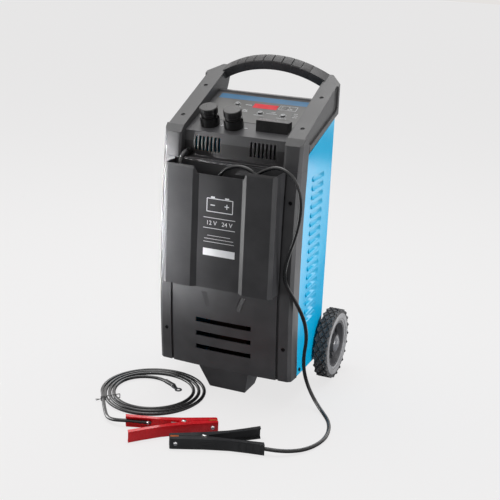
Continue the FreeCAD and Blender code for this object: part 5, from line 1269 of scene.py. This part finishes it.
@dataclass
class RunningGear:
    """The two wheels: lugged tyres, dished rims and domed caps."""

    spot: Point = (161.6, 228.6, 81.0)
    carcass: Profile = (
        (54.3, 3.0), (56.5, 1.6), (58.0, 1.5), (59.0, 2.6), (60.4, 2.6), (61.2, 0.6), (66.0, 0.2),
        (72.0, 0.5), (75.4, 1.6), (77.0, 4.2), (77.2, 16.2), (77.0, 28.2), (75.4, 30.8),
        (72.0, 31.9), (66.0, 32.2), (61.2, 31.8), (60.4, 29.8), (59.0, 29.8), (58.0, 30.9),
        (56.5, 30.8), (54.3, 29.4))
    cap: Profile = ((0.0, 34.4), (4.5, 34.2), (9.5, 33.3), (14.0, 31.6), (17.5, 29.2),
                    (19.8, 26.2), (20.6, 23.0), (20.9, 20.5))
    # Diamond lugs: rows from the inner face, lugs in a row, half sizes, height, middle, taper,
    # and how wide the edge round the sunken middle is and how deep that lies
    rows: tuple[float, ...] = (4.9, 12.4, 20.0, 27.5)
    lugs: int = 22
    lug_half: Pair = (6.3, 8.6)
    lug_tall: float = 4.4
    lug_middle: float = 78.5
    lug_taper: float = 0.84
    lug_edge: float = 0.2
    lug_sink: float = 0.9
    # Shoulder lugs: how many, half width, radii, both sides from the inner face and their bevel
    shoulder_lugs: int = 44
    shoulder_half: float = 3.0
    shoulder_reach: Pair = (73.0, 79.9)
    shoulder_sides: Profile = ((0.6, 5.0), (31.8, 27.4))
    shoulder_bevel: float = 1.6
    # The sidewall, painted pale grey as light, ends at this radius
    sidewall: float = 72.5

    def place(self, side: int) -> Matrix:
        """Where a wheel goes, from its inner face outwards.

        Args:
            side: 1 for the right one, -1 for the left.

        Returns:
            The matrix from the wheel's own millimetres to the frame's metres.
        """
        across, back, up = self.spot
        spot = Matrix.Translation(bench(side * across, back, up))
        return spot @ rotation(90 * side, "Y") @ Matrix.Scale(MM, 4)

    def lug(self, blank: Blank, place: float, angle: float) -> None:
        """Add one diamond lug with a sunken middle.

        Args:
            blank: the tyre.
            place: how far out from the inner face it is.
            angle: where it is round the tyre, in radians.
        """
        made = bmesh.ops.create_cone(blank.mesh, cap_ends=True, cap_tris=False, segments=4,
                                     radius1=1.0, radius2=self.lug_taper,
                                     depth=self.lug_tall)["verts"]
        top = max(around(made, "faces"), key=lambda face: face.calc_center_median().z)
        inner = bmesh.ops.inset_region(blank.mesh, faces=[top], thickness=self.lug_edge,
                                       depth=0.0)["faces"]
        bmesh.ops.translate(blank.mesh, verts=top.verts, vec=(0, 0, -self.lug_sink))
        made = list({vert for face in [*inner, top] for vert in face.verts} | set(made))
        bmesh.ops.scale(blank.mesh, verts=made, vec=(*self.lug_half, 1.0))
        upright = Matrix(((0, 0, 1, 0), (0, 1, 0, 0), (-1, 0, 0, 0), (0, 0, 0, 1)))
        turn = Matrix.Rotation(angle, 4, "Z") @ Matrix.Translation((0, 0, place)) @ upright
        bmesh.ops.transform(blank.mesh, verts=made,
                            matrix=turn @ Matrix.Translation((0, 0, self.lug_middle)))

    def tyre(self) -> Blank:
        """Draw the tyre: a turned carcass, four rows of lugs and the serrated shoulders.

        Returns:
            The piece, from the wheel's inner face outwards.
        """
        blank = Blank()
        blank.turned(self.carcass, 88, closed=True)
        for row, place in enumerate(self.rows):
            for number in range(self.lugs):
                self.lug(blank, place, math.tau * (number + 0.5 * (row % 2)) / self.lugs)
        middle = sum(self.shoulder_reach) / 2
        for number in range(self.shoulder_lugs):
            turn = Matrix.Rotation(math.tau * (number + 0.25) / self.shoulder_lugs, 4, "Z")
            for outer, inner in self.shoulder_sides:
                made = blank.slab(*self.shoulder_reach, -self.shoulder_half, self.shoulder_half,
                                  min(outer, inner), max(outer, inner))
                for vert in made:
                    if abs(vert.co.z - outer) < 0.1 and vert.co.x > middle:
                        vert.co.z += math.copysign(self.shoulder_bevel, inner - outer)
                bmesh.ops.transform(blank.mesh, matrix=turn, verts=made)
        # Faces inside the sidewall's radius take its pale grey, painted light
        for face in blank.mesh.faces:
            face.material_index = int(face.calc_center_median().xy.length < self.sidewall)
        return blank

    def build(self, workshop: Workshop) -> None:
        """Make and dress the wheels.

        Args:
            workshop: makes the pieces.
        """
        for side, name in ((1, "right"), (-1, "left")):
            body = workshop.carrier[name + "_tyre"]
            workshop.piece(name + "_lugged_tyre", self.tyre().at(self.place(side)), Surface.TYRE,
                           body, [name + "_tyre"], crisp=24, second=Surface.SIDEWALL)
            workshop.softened(name + "_rim", Surface.RIM, 0.6, 24.0)
            cap = Blank()
            cap.turned(self.cap)
            workshop.piece(name + "_domed_cap", cap.at(self.place(side)), Surface.HUB_CAP, body,
                           [name + "_hub_cap"], crisp=40)


@dataclass
class Deck:
    """Terminals, fuse, controls, printed film and glands on the console."""

    film: float = 0.5
    ink: float = 0.1
    title: Box = (-104.0, 105.0, 149.5, 169.7)
    title_thick: float = 0.08
    # Where the buttons are, how high they stand on the film, and the marks on and round them
    buttons: tuple[tuple[str, float, float], ...] = (
        ("select_button", -50.0, 129.4), ("voltage_button", 14.0, 101.8),
        ("start_button", 67.0, 99.7))
    button_tall: float = 3.0
    button_ring: Pair = (6.4, 7.1)
    button_rule: Point = (11.0, 10.5, 0.9)
    symbol_ring: Pair = (3.6, 4.2)
    symbol_bar: Pair = (2.0, 0.8)
    symbol_level: Pair = (-0.05, 0.06)
    # The box round the display's units, and single lines: start, end and width
    units: Box = (46.5, 86.0, 125.0, 142.0)
    units_wide: float = 0.7
    lines: tuple[tuple[Pair, Pair, float], ...] = (
        ((-46, 101.5), (-16, 101.5), 0.9), ((28, 103.0), (52, 103.0), 0.9),
        ((-26, 130.2), (-17, 130.2), 1.2))
    # A plus by the left post and a minus by the right one, printed on the bare deck
    signs: tuple[tuple[float, float, bool], ...] = ((-46.0, 33.0, True), (9.0, 33.0, False))
    sign_half: float = 3.5
    sign_wide: float = 1.6
    sign_ink: float = 0.12
    words: tuple[tuple[str, float, float, float], ...] = (
        ("A", 50.0, 137.2, 6.0), ("V", 50.0, 129.8, 6.0), ("%", 66.0, 137.2, 6.0),
        ("0-99", 66.0, 129.8, 6.0), ("6 V", 88.0, 113.2, 5.5), ("12 V", 88.0, 105.7, 5.5),
        ("24 V", 88.0, 98.2, 5.5), ("V", -42.0, 106.6, 6.0), ("ON", -28.0, 106.6, 6.0),
        ("OFF", 37.0, 108.6, 5.5), ("A", -31.0, 130.2, 6.0))

    def legends(self) -> Blank:
        """Draw the white print on the film and by the terminals.

        Returns:
            The piece, in the deck's plane.
        """
        ink = Blank()
        low, high = self.film, self.film + self.ink
        for text, across, along, size in self.words:
            ink.words(text, size, across, along, low, self.ink)
        half, below, wide = self.button_rule
        for _, across, along in self.buttons:
            ink.ring(*self.button_ring, low, high, 40, (across, along))
            ink.stroke((across - half, along - below), (across + half, along - below), wide, low,
                       high)
        ink.frame(*self.units, self.units_wide, low, high)
        for start, end, wide in self.lines:
            ink.stroke(start, end, wide, low, high)
        half = self.sign_half
        for across, along, crossed in self.signs:
            ink.stroke((across - half, along), (across + half, along), self.sign_wide, 0.0,
                       self.sign_ink)
            if crossed:
                ink.stroke((across, along - half), (across, along + half), self.sign_wide, 0.0,
                           self.sign_ink)
        return ink

    def build(self, workshop: Workshop) -> None:
        """Dress what stands on the deck.

        Args:
            workshop: makes the pieces.
        """
        for side in ("left", "right"):
            workshop.softened(side + "_terminal_knob", Surface.PHENOLIC, 0.4, 34.0)
        workshop.softened("terminal_collars", Surface.PHENOLIC, 0.8, 34.0)
        workshop.softened("fuse_cover", Surface.PHENOLIC, 0.8)
        for surface, nodes in (
                (Surface.PHENOLIC, ("fuse_plate", "mains_gland", "negative_gland")),
                (Surface.NICKEL, ("left_terminal_washer", "right_terminal_washer",
                                  "terminal_studs", "fuse_studs")),
                (Surface.COPPER, ("fuse_strip",)), (Surface.FILM, ("control_label",)),
                (Surface.DISPLAY, ("display_window",)), (Surface.LENS, ("indicator_lamps",)),
                (Surface.BOARD, ("control_board",))):
            workshop.coat(surface, *nodes)
        workshop.piece("deck_legends", self.legends().at(DECK), Surface.WHITE_INK, smooth=False)
        title = Blank()
        title.slab(*self.title, self.film, self.film + self.title_thick)
        workshop.piece("title_strip", title.at(DECK), Surface.BLUE_INK, smooth=False)
        low, high = (self.film + self.button_tall + level for level in self.symbol_level)
        reach, wide = self.symbol_bar
        for name, across, along in self.buttons:
            workshop.softened(name, Surface.BUTTON, 0.4)
            mark = Blank()
            mark.ring(*self.symbol_ring, low, high, 32, (across, along))
            mark.stroke((across, along - reach), (across, along + reach), wide, low, high)
            workshop.piece(name + "_symbol", mark.at(DECK), Surface.WHITE_INK,
                           workshop.carrier[name], smooth=False)


@dataclass
class PowerTrain:
    """Transformer, rectifier and fan inside the case."""

    def build(self, workshop: Workshop) -> None:
        """Dress the inside.

        Args:
            workshop: makes the pieces.
        """
        workshop.coat(Surface.CORE, "transformer_core")
        workshop.coat(Surface.WINDING, "transformer_windings")
        workshop.coat(Surface.ZINC, "transformer_brackets")
        workshop.coat(Surface.ALUMINIUM, "heat_sink")
        workshop.coat(Surface.PHENOLIC, "rectifier_diodes", "fan_frame", "fan_rotor")


@dataclass
class Clamps:
    """The black and the red clamp with their teeth, rivets, springs and crimps."""

    # Each clamp's coat, where its pivot is and how it is turned on the floor
    clamps: tuple[tuple[str, Surface, float, float, float], ...] = (
        ("black", Surface.BLACK_COAT, 69.0, -230.0, 208.0),
        ("red", Surface.RED_COAT, 4.5, -190.5, 32.0))
    lift: float = 1.2
    tall: float = 23.0
    band: Point = (-71.8, 21.6, 11.5)
    band_ring: Box = (3.9, 5.0, -1.8, 1.8)
    band_lean: float = -16.3
    # Radius and height of the rivet heads: over the arms' top, and over the jaw's outer face
    pivot_dome: Profile = ((0.0, 2.6), (2.0, 2.4), (3.8, 1.7), (4.7, 0.4), (4.8, -0.2))
    jaw_dome: Profile = ((0.0, 3.6), (1.8, 3.4), (3.3, 2.7), (4.3, 1.4), (4.6, -0.2))
    jaw_along: float = 58.0
    jaw_half: float = 12.0
    # The raised oval on an arm's outer face
    oval_ring: Box = (3.4, 4.6, -0.6, 0.8)
    oval_stretch: float = 4.4
    oval_along: float = -6.0
    oval_half: float = 17.0
    oval_lean: float = 6.2

    def build(self, workshop: Workshop) -> None:
        """Dress the clamps and add their small parts.

        Args:
            workshop: makes the pieces.
        """
        for colour, surface, *_ in self.clamps:
            for arm in ("_cable_arm", "_free_arm"):
                workshop.softened(colour + arm, surface, 0.5, 24.0)
        workshop.coat(Surface.TEETH, "fixed_teeth", "black_free_teeth", "red_free_teeth")
        workshop.coat(Surface.NICKEL, "clamp_rivets")
        workshop.coat(Surface.BRIGHT, "ring_lug")
        workshop.coat(Surface.ZINC, "clamp_springs")
        workshop.coat(Surface.JACKET, "coil_tie")
        for colour, surface, across, back, heading in self.clamps:
            place = seat(across, back, self.lift, heading=heading)
            band = Blank()
            band.ring(*self.band_ring, 24)
            spot = Matrix.Translation(self.band) @ rotation(self.band_lean, "Z")
            spot = spot @ rotation(90, "Y")
            workshop.piece(colour + "_clamp_band", band.at(place @ spot), Surface.BRIGHT,
                           replaces=["clamp_crimps"])
            pivot = Blank()
            pivot.turned([(radius, self.tall + rise) for radius, rise in self.pivot_dome], 32)
            workshop.piece(colour + "_pivot_dome", pivot.at(place), Surface.BRIGHT)
            for side, arm in ((1, "_cable_arm"), (-1, "_free_arm")):
                self.web_parts(workshop, colour + arm, side, place, surface)

    def web_parts(self, workshop: Workshop, arm: str, side: int, place: Matrix,
                  surface: Surface) -> None:
        """Add the dome by the jaw's end and the raised oval on one arm's outer face.

        Args:
            workshop: makes the pieces.
            arm: the arm's node.
            side: 1 for the arm with the lead, -1 for the free one.
            place: the clamp's place.
            surface: the arm's finish.
        """
        facing = rotation(-90 * side, "X")
        body = workshop.carrier[arm]
        dome = Blank()
        dome.turned(self.jaw_dome, 32)
        spot = Matrix.Translation((self.jaw_along, side * self.jaw_half, self.tall / 2)) @ facing
        workshop.piece(arm + "_dome", dome.at(place @ spot), Surface.BRIGHT, body)
        oval = Blank()
        oval.ring(*self.oval_ring, 56, stretch=self.oval_stretch)
        spot = Matrix.Translation((self.oval_along, side * self.oval_half, self.tall / 2))
        spot = spot @ rotation(-side * self.oval_lean, "Z") @ facing
        workshop.piece(arm + "_oval", oval.at(place @ spot), surface, body, crisp=40)


@dataclass
class Studio:
    """Camera, lamps, floor and surroundings, in metres and degrees."""

    azimuth: float = 21.9
    elevation: float = 17.4
    roll: float = 2.6
    distance: float = 2.4364
    target: Point = (0.0083, -0.0123, 0.3085)
    lens: float = 78.8
    sensor: float = 36.0
    floor_half: float = 12.0
    # The floor lies this far under the charger, so that the two never share a plane
    floor_drop: float = 0.0003
    floor_colour: str = "#F7F6F6"
    floor_matt: str = "#E8E8E8"
    # How much of the floor's own glow the camera sees, over its shaded surface
    floor_glow: float = 0.8
    # The floor in the charger's gloss, darker so that black plastic stays black
    mirrored_colour: str = "#6C6C6E"
    sky_colour: str = "#E5E2E0"
    world_light: float = 0.34
    flagged: dict[str, bpy.types.Collection] = field(default_factory=dict)

    def camera(self) -> None:
        """Set the camera at the photograph's viewpoint."""
        turn, lift, lean = (math.radians(angle) for angle in
                            (self.azimuth, self.elevation, self.roll))
        back = Vector((math.sin(turn) * math.cos(lift), -math.cos(turn) * math.cos(lift),
                       math.sin(lift)))
        right = (-back).cross(Vector((0, 0, 1))).normalized()
        up = right.cross(-back)
        across = right * math.cos(lean) + up * math.sin(lean)
        rise = up * math.cos(lean) - right * math.sin(lean)
        data = bpy.data.cameras.new("camera")
        data.lens = self.lens
        data.sensor_width = self.sensor
        data.clip_end = 50.0
        camera = stand("camera", data)
        spot = Vector(self.target) + back * self.distance
        camera.matrix_world = Matrix.Translation(spot) @ Matrix(
            (across, rise, back)).transposed().to_4x4()
        bpy.context.scene.camera = camera

    def surroundings(self) -> None:
        """Give the world its colour for the camera and in gloss, and its light for the rest."""
        world = bpy.data.worlds.new("studio")
        bpy.context.scene.world = world
        tree = emptied(world)
        rays = add_node(tree, "ShaderNodeLightPath").outputs
        seen = rays["Is Camera Ray"]
        for kind in ("Is Transmission Ray", "Is Glossy Ray"):
            seen = add_node(tree, "ShaderNodeMath", {"operation": "MAXIMUM"},
                            {0: seen, 1: rays[kind]}).outputs["Value"]
        light = add_node(tree, "ShaderNodeBackground", None,
                         {"Color": linear("#FFFFFF"), "Strength": self.world_light})
        sky = add_node(tree, "ShaderNodeBackground", None,
                       {"Color": linear(self.sky_colour), "Strength": 1.0})
        both = add_node(tree, "ShaderNodeMixShader", None, {
            0: seen, 1: light.outputs["Background"], 2: sky.outputs["Background"]})
        add_node(tree, "ShaderNodeOutputWorld", None, {"Surface": both.outputs["Shader"]})

    def floor(self) -> None:
        """A wide pale floor that keeps the charger's shadow."""
        shape = bmesh.new()
        bmesh.ops.create_grid(shape, x_segments=1, y_segments=1, size=self.floor_half)
        mesh = bpy.data.meshes.new("floor")
        shape.to_mesh(mesh)
        shape.free()
        material = bpy.data.materials.new("pale_floor")
        tree = emptied(material)
        rays = add_node(tree, "ShaderNodeLightPath").outputs
        share = add_node(tree, "ShaderNodeMath", {"operation": "MULTIPLY"},
                         {0: rays["Is Camera Ray"], 1: self.floor_glow})
        matt = add_node(tree, "ShaderNodeBsdfDiffuse", None, {"Color": linear(self.floor_matt)})
        glow, mirrored = (
            add_node(tree, "ShaderNodeEmission", None, {"Color": linear(colour), "Strength": 1.0})
            for colour in (self.floor_colour, self.mirrored_colour))
        both = add_node(tree, "ShaderNodeMixShader", None, {
            0: share.outputs["Value"], 1: matt.outputs["BSDF"], 2: glow.outputs["Emission"]})
        both = add_node(tree, "ShaderNodeMixShader", None, {
            0: rays["Is Glossy Ray"], 1: both.outputs["Shader"],
            2: mirrored.outputs["Emission"]})
        add_node(tree, "ShaderNodeOutputMaterial", None, {"Surface": both.outputs["Shader"]})
        mesh.materials.append(material)
        floor = stand("floor", mesh)
        floor.location.z = -self.floor_drop
        floor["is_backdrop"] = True

    def lamp(self, name: str, spot: Point, aim: Point, size: Pair, power: float,
             spread: float = 180.0, turn: float = 0.0, kept_off: str = "floor") -> None:
        """Set a soft rectangular lamp that the camera doesn't see.

        Args:
            name: the lamp's name.
            spot: where it stands.
            aim: the point that it faces.
            size: its width and height.
            power: its power in watts.
            spread: the angle of its beam.
            turn: how far it is turned in its own plane.
            kept_off: the group of pieces that it doesn't light, or none.
        """
        data = bpy.data.lights.new(name, "AREA")
        data.shape = "RECTANGLE"
        data.size, data.size_y = size
        data.energy = power
        data.spread = math.radians(spread)
        lamp = stand(name, data)
        lamp.location = spot
        lamp.visible_camera = False
        facing = (Vector(aim) - Vector(spot)).to_track_quat("-Z", "Y").to_matrix()
        facing @= rotation(turn, "Z", 3)
        lamp.rotation_euler = facing.to_euler()
        if kept_off:
            lamp.light_linking.receiver_collection = self.flagged[kept_off]

    def shade(self, group: str, *pieces: str) -> None:
        """Keep a group's lamps off pieces.

        Args:
            group: the group.
            pieces: names of the pieces.
        """
        for piece in pieces:
            self.flagged[group].objects.link(bpy.data.objects[piece])
        for item in self.flagged[group].collection_objects:
            item.light_linking.link_state = "EXCLUDE"

    def build(self) -> None:
        """Set up the whole studio."""
        self.camera()
        self.surroundings()
        self.floor()
        for group in ("floor", "left_side", "leads"):
            self.flagged[group] = bpy.data.collections.new("kept_off_" + group)
            self.shade(group, "floor")
        self.lamp("overhead", (-0.3, 0.3, 2.4), (0, 0, 0.4), (2.2, 1.8), 36.0, kept_off="")
        self.lamp("left_strip", (-1.6, -1.15, 0.46), (-0.27, -0.17, 0.39), (0.15, 0.28), 1.7,
                  spread=8.0, kept_off="left_side")
        self.lamp("left_card", (-0.85, -0.4, 0.18), (0, -0.17, 0.35), (0.8, 0.34), 6.5,
                  kept_off="left_side")
        self.lamp("left_side", (-2.8, 0.4, 0.6), (0, 0, 0.35), (1.8, 1.2), 16.0)
        self.lamp("right_side", (1.05, -0.15, 0.25), (0.16, 0, 0.28), (0.5, 0.44), 8.0,
                  kept_off="leads")
        # The blue side mirrors this one as its pale band
        self.lamp("rear_floor", (0.678, 1.19, 0.012), (0.678, 1.19, 1.0), (0.24, 2.0), 2.9,
                  turn=15.2)
        self.lamp("right_rear", (1.6, 2.6, 0.7), (0, 0, 0.35), (1.8, 1.4), 8.0)
        self.lamp("back_high", (-0.6, 2.4, 2.2), (0, 0, 0.5), (1.8, 1.4), 18.0)
        bpy.context.scene.view_settings.view_transform = "Standard"


def main() -> dict[str, list[float]]:
    """Build every sub-assembly.

    Returns:
        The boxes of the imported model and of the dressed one.
    """
    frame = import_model()
    low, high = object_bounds()
    boxes = {"cad": [*low, *high]}
    workshop = Workshop(frame)
    studio = Studio()
    studio.build()
    for assembly in (Case(), SidePanels(), CableBin(), Handle(), RunningGear(), Deck(),
                     PowerTrain(), Clamps(), NegativeLead(), PositiveLead()):
        assembly.build(workshop)
        for name in workshop.made:
            LOG.info("%s: %s", type(assembly).__name__, name)
        workshop.made.clear()
    studio.shade("left_side", "left_side_panel_moulding", "left_louvres")
    leads = (*clamp_pieces("black"), *clamp_pieces("red"), *pieces_for(
        "negative_lead", "positive_lead", "red_clamp_band", "black_clamp_band"))
    studio.shade("leads", *(piece.name for piece in leads))
    low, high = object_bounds()
    boxes["visual"] = [*low, *high]
    return boxes


if __name__ == "__main__":
    logging.basicConfig(level=logging.INFO, format="%(name)s: %(message)s")
    SIZES = main()
